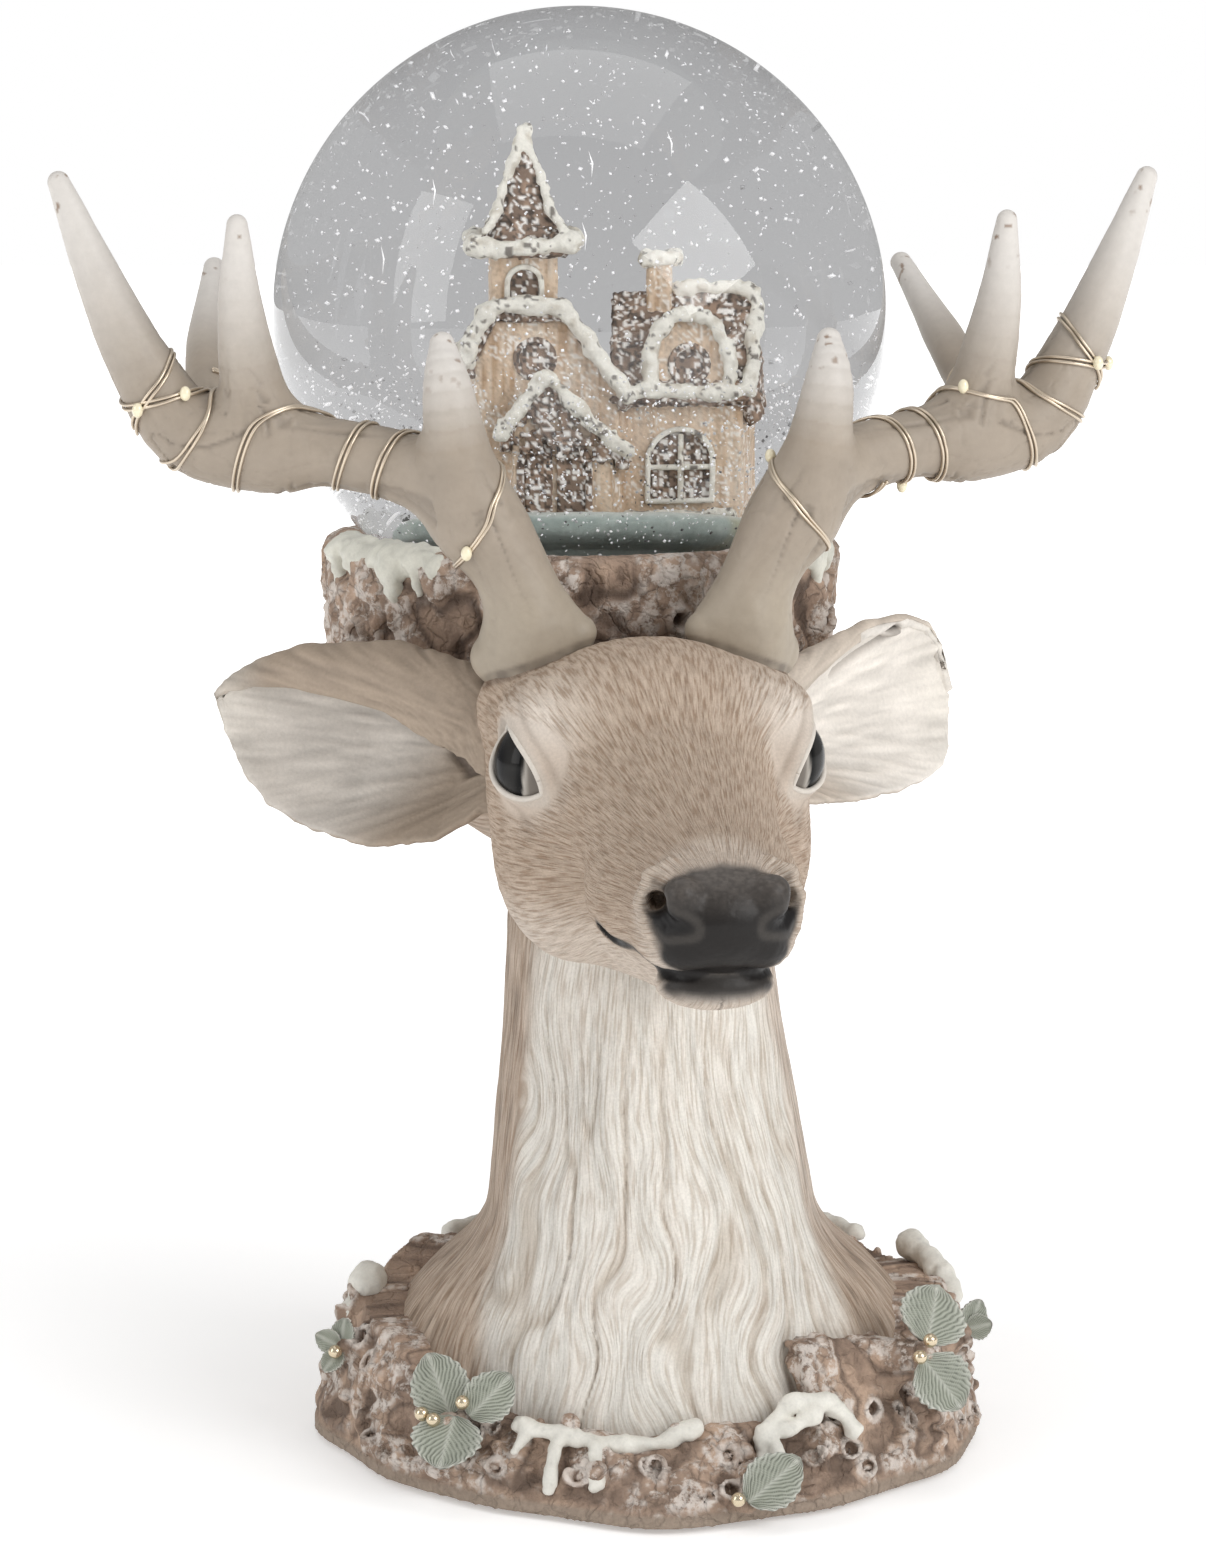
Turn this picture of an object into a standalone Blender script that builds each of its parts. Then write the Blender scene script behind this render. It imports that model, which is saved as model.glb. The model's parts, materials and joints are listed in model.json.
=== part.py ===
"""A snow globe carried on a stag's head.

A hollow cast bust stands in a bark base. Behind the antlers a bark stump holds a water-filled glass
ball with a small snowy chapel in it. A string of small lights winds round both antlers and is fed by
two cells in a case in the underside.

Frame: +Z up, origin on the ground under the middle of the base, the chest faces -Y. The head, the
antlers, the stump and the globe share a second frame, turned a little about the neck.
"""

import math

import bmesh
import bpy
from mathutils import Matrix, Vector, noise

MM = 0.001
GAP = 0.3 * MM  # left between pieces that touch on the real object

# --- driving dimensions -------------------------------------------------------------------------
GLOBE_RADIUS = 50 * MM
GLASS_WALL = 2.2 * MM
BASE_RADIUS = 54 * MM
HEAD_TURN = math.radians(10)  # the head looks a little to its own left
HEAD_AXIS = Vector((-3 * MM, -12 * MM, 0))

# --- heights ------------------------------------------------------------------------------------
PAD_THICKNESS = 1.5 * MM
PLATE_BOTTOM = 1.8 * MM
PLATE_TOP = 4.0 * MM
LEDGE_BOTTOM = 4.3 * MM
LEDGE_TOP = 9.5 * MM
BUST_BOTTOM = LEDGE_TOP + GAP
STUMP_BOTTOM = 98 * MM
STUMP_TOP = 139 * MM
GLOBE_CENTRE = Vector((0, 50.7 * MM, 175 * MM))  # in the head's frame
NECK_BOTTOM = 124 * MM  # the lip of the glass
GROUND_TOP = GLOBE_CENTRE.z - 26 * MM  # the snowy ground under the chapel

# --- base ---------------------------------------------------------------------------------------
PLATE_RADIUS = 43 * MM
LEDGE_RADIUS = 38.5 * MM
WELL_RADIUS = 46.5 * MM  # the bust stands inside this
PAD_RADIUS = 46 * MM
PLATE_SCREW_CIRCLE = 40.6 * MM

# --- light string -------------------------------------------------------------------------------
WIRE_RADIUS = 0.4 * MM
WIRE_STANDOFF = 1.1 * MM
BEAD_STANDOFF = 1.9 * MM
BEAD_RADIUS = 1.3 * MM
BEAD_LENGTH = 3.2 * MM
BEADS = (0.1, 0.36, 0.52, 0.75, 0.92)  # along the string

# --- battery case -------------------------------------------------------------------------------
CELL_RADIUS = 5.25 * MM
CELL_BODY = 43.5 * MM
CELL_NUB = 1.0 * MM
CELL_Z = 9.4 * MM
CASE_Y = 15.3 * MM
CELL_Y = (CASE_Y - 5.4 * MM, CASE_Y + 5.4 * MM)
CASE_HALF_X = 24.9 * MM  # inside
CASE_HALF_Y = 10.8 * MM  # inside
CASE_WALL = 1.2 * MM
CASE_TOP = 16.2 * MM
SPRING_LENGTH = 3 * MM
DOOR_THICKNESS = 1.6 * MM
HINGE_X = 27 * MM
HINGE_Z = PLATE_BOTTOM + DOOR_THICKNESS / 2
DOOR_SCREW_X = -28.2 * MM
SWITCH = Vector((0, -24 * MM, 0))
SWITCH_TRAVEL = 2.5 * MM


# --- helpers ------------------------------------------------------------------------------------
def clear_scene():
    for obj in list(bpy.data.objects):
        bpy.data.objects.remove(obj)


def material(name, colour, roughness, metallic=0.0, alpha=1.0):
    mat = bpy.data.materials.new(name)
    mat.use_nodes = True
    shader = mat.node_tree.nodes["Principled BSDF"]
    shader.inputs["Base Color"].default_value = (*colour, 1.0)
    shader.inputs["Roughness"].default_value = roughness
    shader.inputs["Metallic"].default_value = metallic
    shader.inputs["Alpha"].default_value = alpha
    return mat


def add(name, bm, mat, parent=None, location=(0, 0, 0), rotation=(0, 0, 0), flat_over=40):
    """Links a bmesh as a named object, normals out, smooth except over sharp edges."""
    bmesh.ops.recalc_face_normals(bm, faces=bm.faces)
    mesh = bpy.data.meshes.new(name)
    bm.to_mesh(mesh)
    bm.free()
    mesh.materials.append(mat)
    mesh.shade_smooth()
    mesh.set_sharp_from_angle(angle=math.radians(flat_over))
    obj = bpy.data.objects.new(name, mesh)
    bpy.context.scene.collection.objects.link(obj)
    obj.parent = parent
    obj.location = location
    obj.rotation_euler = rotation
    return obj


def helper(name, bm, parent=None, location=(0, 0, 0), rotation=(0, 0, 0)):
    """A cutter, or a shape that a Boolean joins to another."""
    obj = add(name, bm, STEEL, parent, location, rotation)
    obj.hide_render = True
    obj.display_type = "WIRE"
    return obj


def boolean(obj, other, operation):
    modifier = obj.modifiers.new(operation.lower() + "_" + other.name, "BOOLEAN")
    modifier.operation = operation
    modifier.solver = "EXACT"
    modifier.object = other


def cut(obj, *others):
    for other in others:
        boolean(obj, other, "DIFFERENCE")


def fuse(obj, *others):
    for other in others:
        boolean(obj, other, "UNION")


def box(size, centre=(0, 0, 0)):
    bm = bmesh.new()
    bmesh.ops.create_cube(bm, size=1)
    bmesh.ops.transform(bm, matrix=Matrix.Translation(centre) @ Matrix.Diagonal((*size, 1)), verts=bm.verts)
    return bm


def cylinder(radius, bottom, top, sides=24, end_radius=None):
    bm = bmesh.new()
    end_radius = radius if end_radius is None else end_radius
    middle = Matrix.Translation((0, 0, (bottom + top) / 2))
    sizes = {"radius1": radius, "radius2": end_radius, "depth": top - bottom}
    bmesh.ops.create_cone(bm, cap_ends=True, segments=sides, matrix=middle, **sizes)
    return bm


def bridged(rings, closed=False, caps=True):
    """Rings of equally many points, joined into a skin. A ring of one point is a pole."""
    bm = bmesh.new()
    loops = [[bm.verts.new(p) for p in ring] for ring in rings]
    pairs = list(zip(loops, loops[1:]))
    if closed:
        pairs.append((loops[-1], loops[0]))
    for a, b in pairs:
        for i in range(max(len(a), len(b))):
            j = i + 1
            face = [a[i % len(a)], a[j % len(a)], b[j % len(b)], b[i % len(b)]]
            bm.faces.new(list(dict.fromkeys(face)))
    if caps and not closed:
        for loop in (loops[0], loops[-1]):
            if len(loop) > 2:
                bm.faces.new(loop)
    return bm


def turned(outline, steps=32):
    """A body of revolution about Z from (radius, height) points. Points on the axis become poles."""
    rings = []
    for radius, height in outline:
        if radius < 1e-7:
            rings.append([(0, 0, height)])
            continue
        angles = [2 * math.pi * i / steps for i in range(steps)]
        rings.append([(radius * math.cos(a), radius * math.sin(a), height) for a in angles])
    on_axis = len(rings[0]) == 1 or len(rings[-1]) == 1
    return bridged(rings, closed=not on_axis)


def arc(centre, radius, start, end, steps):
    """Points of a circle in (radius, height), angles in degrees from the horizontal."""
    turns = [math.radians(start + (end - start) * i / steps) for i in range(steps + 1)]
    return [(centre[0] + radius * math.cos(t), centre[1] + radius * math.sin(t)) for t in turns]


def ball(centre, radii, turn=0.0, sides=20):
    """An ellipsoid, leaned about X by turn."""
    bm = bmesh.new()
    bmesh.ops.create_uvsphere(bm, u_segments=sides, v_segments=sides * 3 // 5, radius=1)
    place = Matrix.Translation(centre) @ Matrix.Rotation(turn, 4, "X") @ Matrix.Diagonal((*radii, 1))
    bmesh.ops.transform(bm, matrix=place, verts=bm.verts)
    return bm


def taper(start, start_radius, end, end_radius):
    """The hull of two balls: a limb that narrows."""
    bm = bmesh.new()
    for centre, radius in ((start, start_radius), (end, end_radius)):
        bmesh.ops.create_uvsphere(
            bm, u_segments=20, v_segments=12, radius=radius, matrix=Matrix.Translation(centre)
        )
    hull = bmesh.ops.convex_hull(bm, input=bm.verts)
    inside = [g for g in hull["geom_interior"] + hull["geom_unused"] if isinstance(g, bmesh.types.BMVert)]
    bmesh.ops.delete(bm, geom=list(set(inside)), context="VERTS")
    loose = [f for f in bm.faces if not f.is_valid]
    bmesh.ops.delete(bm, geom=loose, context="FACES")
    return bm


def curve_through(points, steps):
    """A Catmull-Rom curve through vectors of any size, with steps points to each stretch."""
    points = [Vector(p) for p in points]
    padded = [2 * points[0] - points[1], *points, 2 * points[-1] - points[-2]]
    made = []
    for a, b, c, d in zip(padded, padded[1:], padded[2:], padded[3:]):
        for i in range(steps):
            t = i / steps
            square = (2 * a - 5 * b + 4 * c - d) * t * t
            cube = (3 * b - a - 3 * c + d) * t**3
            made.append(0.5 * (2 * b + (c - a) * t + square + cube))
    made.append(points[-1])
    return made


def frames_along(path):
    """(tangent, normal, binormal) at each point, carried along without twist."""
    frames = []
    normal = None
    for i, point in enumerate(path):
        ahead = path[min(i + 1, len(path) - 1)] - path[max(i - 1, 0)]
        tangent = ahead.normalized()
        if normal is None:
            normal = tangent.cross(Vector((0, 1, 0))).normalized()
        normal = (normal - tangent * normal.dot(tangent)).normalized()
        frames.append((tangent, normal, tangent.cross(normal)))
    return frames


def swept(path, radii, sides, rounded=False):
    """A tube with a radius for each point. A rounded tube ends in a dome."""
    rings = []
    frames = frames_along(path)
    for point, radius, (tangent, normal, binormal) in zip(path, radii, frames):
        angles = [2 * math.pi * i / sides for i in range(sides)]
        rings.append([point + radius * (math.cos(a) * normal + math.sin(a) * binormal) for a in angles])
    if rounded:
        tangent, normal, binormal = frames[-1]
        shrunk = [path[-1] + tangent * radii[-1] * 0.6 + (p - path[-1]) * 0.7 for p in rings[-1]]
        rings += [shrunk, [path[-1] + tangent * radii[-1] * 0.95]]
    return bridged(rings)


def limb(points, steps, sides=10):
    """A tapering branch through (x, y, z, radius) points in millimetres."""
    made = curve_through([Vector(p) * MM for p in points], steps)
    return swept([Vector(p[:3]) for p in made], [p[3] for p in made], sides, rounded=True)


def rough(point, scale, seed):
    """Smooth repeatable roughness between -1 and 1."""
    return noise.noise(Vector(point) * scale + Vector((seed, 0, 0)))


# --- materials ----------------------------------------------------------------------------------
clear_scene()
FUR = material("fur_resin", (0.44, 0.35, 0.28), 0.7)
BARK = material("bark_resin", (0.30, 0.22, 0.17), 0.85)
ANTLER = material("antler_resin", (0.42, 0.36, 0.30), 0.45)
GLOSS_BLACK = material("eye_gloss", (0.01, 0.01, 0.01), 0.08)
GLASS = material("globe_glass", (0.95, 0.97, 0.97), 0.02, alpha=0.25)
WATER = material("water", (0.85, 0.9, 0.92), 0.02, alpha=0.2)
HOUSE = material("house_resin", (0.55, 0.43, 0.33), 0.75)
ICE = material("ground_resin", (0.45, 0.55, 0.53), 0.4)
LEAF = material("leaf_resin", (0.30, 0.36, 0.28), 0.6)
GOLD = material("gold_bead", (0.75, 0.55, 0.28), 0.25, metallic=1.0)
WIRE = material("light_wire", (0.72, 0.66, 0.52), 0.25, metallic=1.0)
LED = material("led_drop", (0.85, 0.75, 0.45), 0.1, alpha=0.6)
RUBBER = material("white_rubber", (0.75, 0.75, 0.72), 0.8)
PLASTIC = material("black_plastic", (0.03, 0.03, 0.03), 0.5)
STEEL = material("steel", (0.6, 0.6, 0.6), 0.3, metallic=1.0)
CELL_SLEEVE = material("cell_sleeve", (0.25, 0.28, 0.32), 0.35)

head = bpy.data.objects.new("head_frame", None)
bpy.context.scene.collection.objects.link(head)
head.location = HEAD_AXIS
head.rotation_euler = (0, 0, HEAD_TURN)
HEAD_MATRIX = Matrix.Translation(HEAD_AXIS) @ Matrix.Rotation(HEAD_TURN, 4, "Z")


# --- antlers, in the head's frame, for the side at +X ---------------------------------------------
BEAM = (
    (16, -4, 127, 8.6),
    (18, -3, 136, 7.2),
    (24, -1, 147, 6.4),
    (33, 3, 154, 5.6),
    (45, 8, 157, 5.2),
    (57, 12, 158, 6.0),
    (67, 15, 160, 6.0),
    (74, 17, 170, 4.9),
    (80, 18, 183, 3.7),
    (86, 19, 198, 1.9),
)
BROW_TINE = ((25, -1, 147, 5.6), (28, -3, 158, 4.9), (29.5, -3, 168, 3.5), (30, -1, 174, 2.0))
UPPER_TINE = ((54, 11, 157, 5.2), (57.5, 11, 167, 4.8), (59.5, 9, 180, 3.4), (60, 7, 192, 1.7))
REAR_TINE = ((60, 14, 158, 4.6), (62, 30, 162, 3.8), (61, 50, 171, 3.1), (58, 68, 183, 1.6))
ROOT_DIRECTION = Vector((9, 3, 20)).normalized()
ROOT = Vector(BEAM[0][:3]) * MM
PEG_RADIUS = 4 * MM
PEG_LENGTH = 7 * MM


def mirrored(points, side):
    return [(side * p[0], *p[1:]) for p in points]


def peg_place(side):
    """Where an antler's peg starts, and the turn that points +Z down it."""
    direction = Vector((side * ROOT_DIRECTION.x, ROOT_DIRECTION.y, ROOT_DIRECTION.z))
    start = Vector((side * ROOT.x, ROOT.y, ROOT.z))
    return start, (-direction).to_track_quat("Z", "Y").to_euler()


def antler(name, side):
    """One beam that ends in a tine, three more tines fused to it, and a peg that goes into the head."""
    obj = add(name, limb(mirrored(BEAM, side), 3), ANTLER, head)
    for label, points in (("brow", BROW_TINE), ("upper", UPPER_TINE), ("rear", REAR_TINE)):
        fuse(obj, helper(f"{name}_{label}_tine", limb(mirrored(points, side), 2, sides=8), head))
    start, turn = peg_place(side)
    peg = helper(f"{name}_peg", cylinder(PEG_RADIUS, -2 * MM, PEG_LENGTH, 12), head, start, turn)
    fuse(obj, peg)
    return obj


# --- bust -----------------------------------------------------------------------------------------
# (height, half width, front, back) of the neck and shoulders
NECK_SECTIONS = (
    (9.8, 44, -45.5, 45),
    (15, 43.5, -45, 44.5),
    (21, 41.5, -43.5, 42),
    (28, 36, -41.5, 37),
    (37, 27, -39, 31),
    (52, 24, -34, 25),
    (68, 22, -29, 23),
    (84, 21, -24, 23),
    (98, 19, -20, 20),
)


def neck():
    """Egg-shaped sections, a little fuller at the chest."""
    rings = []
    for z, half_width, front, back in NECK_SECTIONS:
        ring = []
        for i in range(28):
            angle = 2 * math.pi * i / 28
            depth = (back - front) / 2
            x = half_width * math.cos(angle)
            y = (front + back) / 2 + depth * math.sin(angle)
            ring.append(Vector((x, y, z)) * MM)
        rings.append(ring)
    return bridged(rings)


def head_shapes():
    """Overlapping balls and limbs, in millimetres in the head's frame, that the remesh melts together."""
    shapes = [
        ball((0, -13, 111), (24, 22, 19)),
        ball((0, -16, 123), (17, 14, 7)),
        ball((0, -4, 104), (17, 14, 16)),
        taper(Vector((0, -20, 106)), 21.5, Vector((0, -58, 97)), 12.3),
        ball((0, -66, 96.5), (12.2, 9, 9.5)),
        taper(Vector((0, -24, 92)), 13, Vector((0, -57, 89)), 7.5),
    ]
    for side in (-1, 1):
        shapes.append(ball((side * 13, -23, 96), (12.5, 19, 14)))
        shapes.append(ball((side * 15.5, -22, 115), (8.5, 11, 8.5)))
        shapes.append(ball((side * 16, -3, 121), (10.5, 10, 7)))
        shapes.append(ball((side * 22, 0, 114), (8, 7, 9)))
    for bm in shapes:
        bmesh.ops.transform(bm, matrix=HEAD_MATRIX @ Matrix.Scale(MM, 4), verts=bm.verts)
    return shapes


def joined(shapes):
    """One bmesh that holds several."""
    whole = bmesh.new()
    for bm in shapes:
        mesh = bpy.data.meshes.new("shape")
        bmesh.ops.recalc_face_normals(bm, faces=bm.faces)
        bm.to_mesh(mesh)
        bm.free()
        whole.from_mesh(mesh)
        bpy.data.meshes.remove(mesh)
    return whole


def melt(obj, voxel, smoothing, kept):
    """Makes overlapping shapes one skin, softens it, and thins it to a share of its faces."""
    remesh = obj.modifiers.new("melt", "REMESH")
    remesh.mode = "VOXEL"
    remesh.voxel_size = voxel
    smooth = obj.modifiers.new("smooth", "SMOOTH")
    smooth.factor = 0.5
    smooth.iterations = smoothing
    thin = obj.modifiers.new("thin", "DECIMATE")
    thin.ratio = kept


def bust():
    """The casting: neck, head and a prop for the stump, melted together and hollowed from below."""
    prop = taper(Vector((-1, 12, 62)) * MM, 18 * MM, Vector((-9, 32, 88)) * MM, 16 * MM)
    seat = cylinder(23 * MM, 84 * MM, 101 * MM, 28)
    bmesh.ops.transform(seat, matrix=Matrix.Translation((-11.6 * MM, 37.6 * MM, 0)), verts=seat.verts)
    seat_neck = taper(Vector((-8, 30, 84)) * MM, 16 * MM, Vector((-11, 36, 92)) * MM, 20 * MM)
    obj = add("bust_casting", joined([neck(), prop, seat, seat_neck, *head_shapes()]), FUR)
    melt(obj, 2 * MM, 7, 0.055)
    level = helper("bust_bottom_cut", box((0.2, 0.2, 0.02), (0, 0, BUST_BOTTOM - 0.01)))
    above = helper("bust_seat_cut", cylinder(31 * MM, STUMP_BOTTOM - GAP, 0.13, 32), head)
    above.location = (GLOBE_CENTRE.x, GLOBE_CENTRE.y, 0)
    cut(obj, level, above, bust_hollow(), *eye_sockets(), *ear_sockets(), *antler_sockets(), *cable_holes())
    return obj


def bust_hollow():
    """The space for the battery case below and the cables above, open at the bottom."""
    levels = (
        (5, 39.6, 39.6, 0),
        (17.5, 39.2, 39.2, 0),
        (27, 29, 31, -1),
        (36, 20, 27, -4),
        (52, 17.5, 22, -4),
        (70, 15, 18, -3),
        (88, 13, 14, -6),
        (104, 12, 11, -14),
        (114, 10, 9, -16),
    )
    rings = []
    for z, half_width, half_depth, middle in levels:
        angles = [2 * math.pi * i / 20 for i in range(20)]
        rings.append(
            [Vector((half_width * math.cos(a), middle + half_depth * math.sin(a), z)) * MM for a in angles]
        )
    return helper("bust_hollow", bridged(rings))


# --- eyes -------------------------------------------------------------------------------------------
EYE_CENTRE = Vector((17.6, -22.5, 113)) * MM
EYE_RADIUS = 6.6 * MM


def eye_sockets():
    made = []
    for side in (-1, 1):
        centre = (side * EYE_CENTRE.x, EYE_CENTRE.y, EYE_CENTRE.z)
        made.append(helper(f"eye_socket_{side}", ball((0, 0, 0), [EYE_RADIUS + GAP] * 3), head, centre))
    return made


def eye(name, side):
    centre = (side * EYE_CENTRE.x, EYE_CENTRE.y, EYE_CENTRE.z)
    return add(name, ball((0, 0, 0), [EYE_RADIUS] * 3, sides=14), GLOSS_BLACK, head, centre)


# --- ears -------------------------------------------------------------------------------------------
EAR_ROOT = Vector((23, 1.5, 114)) * MM
EAR_LENGTH = 50 * MM
EAR_HALF_WIDTH = 14 * MM
EAR_CUP = 7 * MM
EAR_THICKNESS = 3.2 * MM
EAR_SWEEP = {-1: math.radians(38), 1: math.radians(52)}  # how far each ear points back
EAR_TENON_RADIUS = 2 * MM
EAR_TENON_BACK = 3 * MM  # the foot's thickest point lies behind the ear's own plane


def ear_width(t):
    """Half width along the ear: a broad foot and a rounded tip."""
    away = (t - 0.5) / 0.5
    if away > 0:
        return EAR_HALF_WIDTH * math.sqrt(max(0.015, 1 - away * away))
    return EAR_HALF_WIDTH * (1 - 0.4 * away * away)


def ear_skin(grow=0.0, steps=9, across=6):
    """A cupped leaf along +X, opening towards -Y. Grown, it is the seat's cutter, its hollow filled."""
    rings = []
    for i in range(steps + 1):
        t = i / steps
        half = ear_width(t) + grow
        cup = EAR_CUP * math.sin(math.pi * min(1, t * 0.9 + 0.1)) ** 0.7
        x = EAR_LENGTH * t - (3 * grow if i == 0 else 0)
        front = []
        back = []
        for j in range(across + 1):
            u = 2 * j / across - 1
            bend = -cup * (u * u - 1)
            thick = EAR_THICKNESS * (1 - 0.65 * u * u) * (1 - 0.4 * t) / 2 + grow
            front.append(Vector((x, (0 if grow else bend) - thick, half * u)))
            back.append(Vector((x, bend + thick, half * u)))
        rings.append(front + back[::-1])
    return bridged(rings)


def ear_turn(side):
    angle = EAR_SWEEP[side]
    return (math.radians(-8), 0, angle) if side > 0 else (math.radians(-8), 0, -angle)


def ear_root(side):
    return Vector((side * EAR_ROOT.x, EAR_ROOT.y, EAR_ROOT.z))


def ear_tenon(radius, length, out):
    bm = cylinder(radius, -length, out, 12)
    bmesh.ops.rotate(bm, matrix=Matrix.Rotation(math.pi / 2, 3, "Y"), verts=bm.verts)
    bmesh.ops.translate(bm, vec=(0, EAR_TENON_BACK, 0), verts=bm.verts)
    return bm


def mirror_bmesh(bm, side):
    if side < 0:
        bmesh.ops.scale(bm, vec=(-1, 1, 1), verts=bm.verts)
    return bm


def ear(name, side):
    start = ear_root(side)
    turn = ear_turn(side)
    obj = add(name, mirror_bmesh(ear_skin(), side), FUR, head, start, turn)
    tenon = mirror_bmesh(ear_tenon(EAR_TENON_RADIUS, 5 * MM, 2 * MM), side)
    fuse(obj, helper(name + "_tenon", tenon, head, start, turn))
    return obj


def ear_sockets():
    """A hole for each tenon and a seat that follows the foot of the ear."""
    made = []
    for side in (-1, 1):
        place = (head, ear_root(side), ear_turn(side))
        hole = mirror_bmesh(ear_tenon(EAR_TENON_RADIUS + GAP, 5.6 * MM, 0), side)
        made.append(helper(f"ear_hole_{side}", hole, *place))
        made.append(helper(f"ear_seat_{side}", mirror_bmesh(ear_skin(grow=GAP), side), *place))
    return made


def antler_sockets():
    """A hole for each peg and a seat that follows the foot of the antler."""
    made = []
    for side in (-1, 1):
        start, turn = peg_place(side)
        hole = cylinder(PEG_RADIUS + GAP, -1 * MM, PEG_LENGTH + 0.6 * MM, 12)
        made.append(helper(f"antler_hole_{side}", hole, head, start, turn))
        foot = [(*p[:3], p[3] + 0.4) for p in mirrored(BEAM[:3], side)]
        outward = Vector((side * ROOT_DIRECTION.x, ROOT_DIRECTION.y, ROOT_DIRECTION.z))
        foot[0] = (*(Vector(foot[0][:3]) - 0.4 * outward), foot[0][3])
        made.append(helper(f"antler_seat_{side}", limb(foot, 3), head))
    return made


# --- cables and lights --------------------------------------------------------------------------
CABLE_RADIUS = 0.7 * MM
CABLE_PATH = (
    (11, 6, 127.5),
    (10.2, 2, 117),
    (8, -5, 101),
    (7, -1, 80),
    (7, 2, 50),
    (7, 6, 30),
    (7, 8, 16.7),
)


def cable_path(side):
    return curve_through([Vector(p) * MM for p in mirrored(CABLE_PATH, side)], 2)


def cable_holes():
    made = []
    for side in (-1, 1):
        path = cable_path(side)[:7]
        path[0] = path[0] + (path[0] - path[1]) * 0.6
        made.append(helper(f"cable_hole_{side}", swept(path, [1.3 * MM] * len(path), 8), head))
    return made


def cable(name, side):
    path = cable_path(side)
    return add(name, swept(path, [CABLE_RADIUS] * len(path), 6), PLASTIC, head)


def string_point(side, t):
    """A point of the light string's line at t in 0..1, the way along it and the way outwards."""
    beam = curve_through([Vector(p) for p in BEAM[1:]], 6)
    place = 0.04 + 0.93 * t
    index = min(int(place * (len(beam) - 1)), len(beam) - 2)
    part = place * (len(beam) - 1) - index
    here = beam[index].lerp(beam[index + 1], part)
    along = (Vector(beam[index + 1][:3]) - Vector(beam[index][:3])).normalized()
    under = Vector((along.z, 0, -along.x)).normalized()
    across = along.cross(under)
    swing = math.radians(50) * math.sin(2 * math.pi * 4.5 * t) + math.radians(-20)
    out = math.cos(swing) * under + math.sin(swing) * across
    point = Vector(here[:3]) + out * (here[3] + WIRE_STANDOFF / MM)
    flip = Vector((side, 1, 1))
    return point * flip * MM, along * flip, out * flip


def light_wire(name, side):
    """The string runs along the underside of the beam, where no tine is in its way."""
    steps = 64
    path = [string_point(side, i / steps)[0] for i in range(steps + 1)]
    return add(name, swept(path, [WIRE_RADIUS] * len(path), 5), WIRE, head, flat_over=80)


def bead(name, side, t):
    point, along, out = string_point(side, t)
    turn = along.to_track_quat("Z", "Y").to_euler()
    drop = ball((0, 0, 0), (BEAD_RADIUS, BEAD_RADIUS, BEAD_LENGTH / 2), sides=8)
    return add(name, drop, LED, head, point + out * BEAD_STANDOFF, turn)


# --- stump and globe ----------------------------------------------------------------------------
def globe_frame():
    """Children of this empty are placed from the globe's centre."""
    empty = bpy.data.objects.new("globe_frame", None)
    bpy.context.scene.collection.objects.link(empty)
    empty.parent = head
    empty.location = GLOBE_CENTRE
    return empty


STUMP_OUTLINE = ((98, 24.5), (103, 32), (109, 38.5), (116, 40), (126, 40.3), (135, 41), (139, 41.3))
NECK_OUTER = 27 * MM
NECK_INNER = 24.9 * MM
SPHERE_STEPS = 28


def stump():
    """Bark outside, a bed for the ball and a well for its neck inside."""
    centre = GLOBE_CENTRE.z
    rings = []
    for z, radius in STUMP_OUTLINE:
        ring = []
        for i in range(36):
            angle = 2 * math.pi * i / 36
            at = Vector((math.cos(angle), math.sin(angle), z * 0.02))
            bumps = 0.7 * rough(at, 3.1, 2.0) + 0.5 * rough(at, 7.0, 5.0)
            wave = rough((at.x, at.y, 0), 2.4, 9.0) * max(0, (z - 126) / 13)
            ring.append(
                Vector((at.x * (radius + bumps), at.y * (radius + bumps), z - centre / MM + wave)) * MM
            )
        rings.append(ring)
    rings[0] = [Vector((p.x, p.y, STUMP_BOTTOM - centre)) for p in rings[0]]
    obj = add("stump_pedestal", bridged(rings), BARK, globe)
    lip = NECK_BOTTOM - centre
    seat = arc((0, 0), GLOBE_RADIUS + GAP, -57, -40, 3)
    well = [(0, lip - 19 * MM), (23.5 * MM, lip - 19 * MM), (23.5 * MM, lip - 3.6 * MM)]
    well += [(28.3 * MM, lip - 3.6 * MM), (28.3 * MM, seat[0][1])]
    well += [*seat, (seat[-1][0], 0), (0, 0)]
    cut(obj, helper("stump_well", turned(well, 28), globe))
    return obj


def glass():
    lip = NECK_BOTTOM - GLOBE_CENTRE.z
    outer_end = -math.degrees(math.acos(NECK_OUTER / GLOBE_RADIUS))
    inner_end = -math.degrees(math.acos(NECK_INNER / (GLOBE_RADIUS - GLASS_WALL)))
    outer = arc((0, 0), GLOBE_RADIUS, 90, outer_end, 12)
    inner = arc((0, 0), GLOBE_RADIUS - GLASS_WALL, inner_end, 90, 12)
    outline = [(0, GLOBE_RADIUS), *outer[1:], (NECK_OUTER, lip), (NECK_INNER, lip), *inner[:-1]]
    outline.append((0, GLOBE_RADIUS - GLASS_WALL))
    return add("globe_glass", turned(outline, SPHERE_STEPS), GLASS, globe)


def stopper():
    lip = NECK_BOTTOM - GLOBE_CENTRE.z
    plug = NECK_INNER - GAP
    outline = ((0, lip - 3 * MM), (27.5 * MM, lip - 3 * MM), (27.5 * MM, lip - GAP), (plug, lip - GAP))
    outline += ((plug, lip + 7 * MM), (0, lip + 7 * MM))
    return add("globe_stopper", turned(outline, SPHERE_STEPS), RUBBER, globe)


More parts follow.
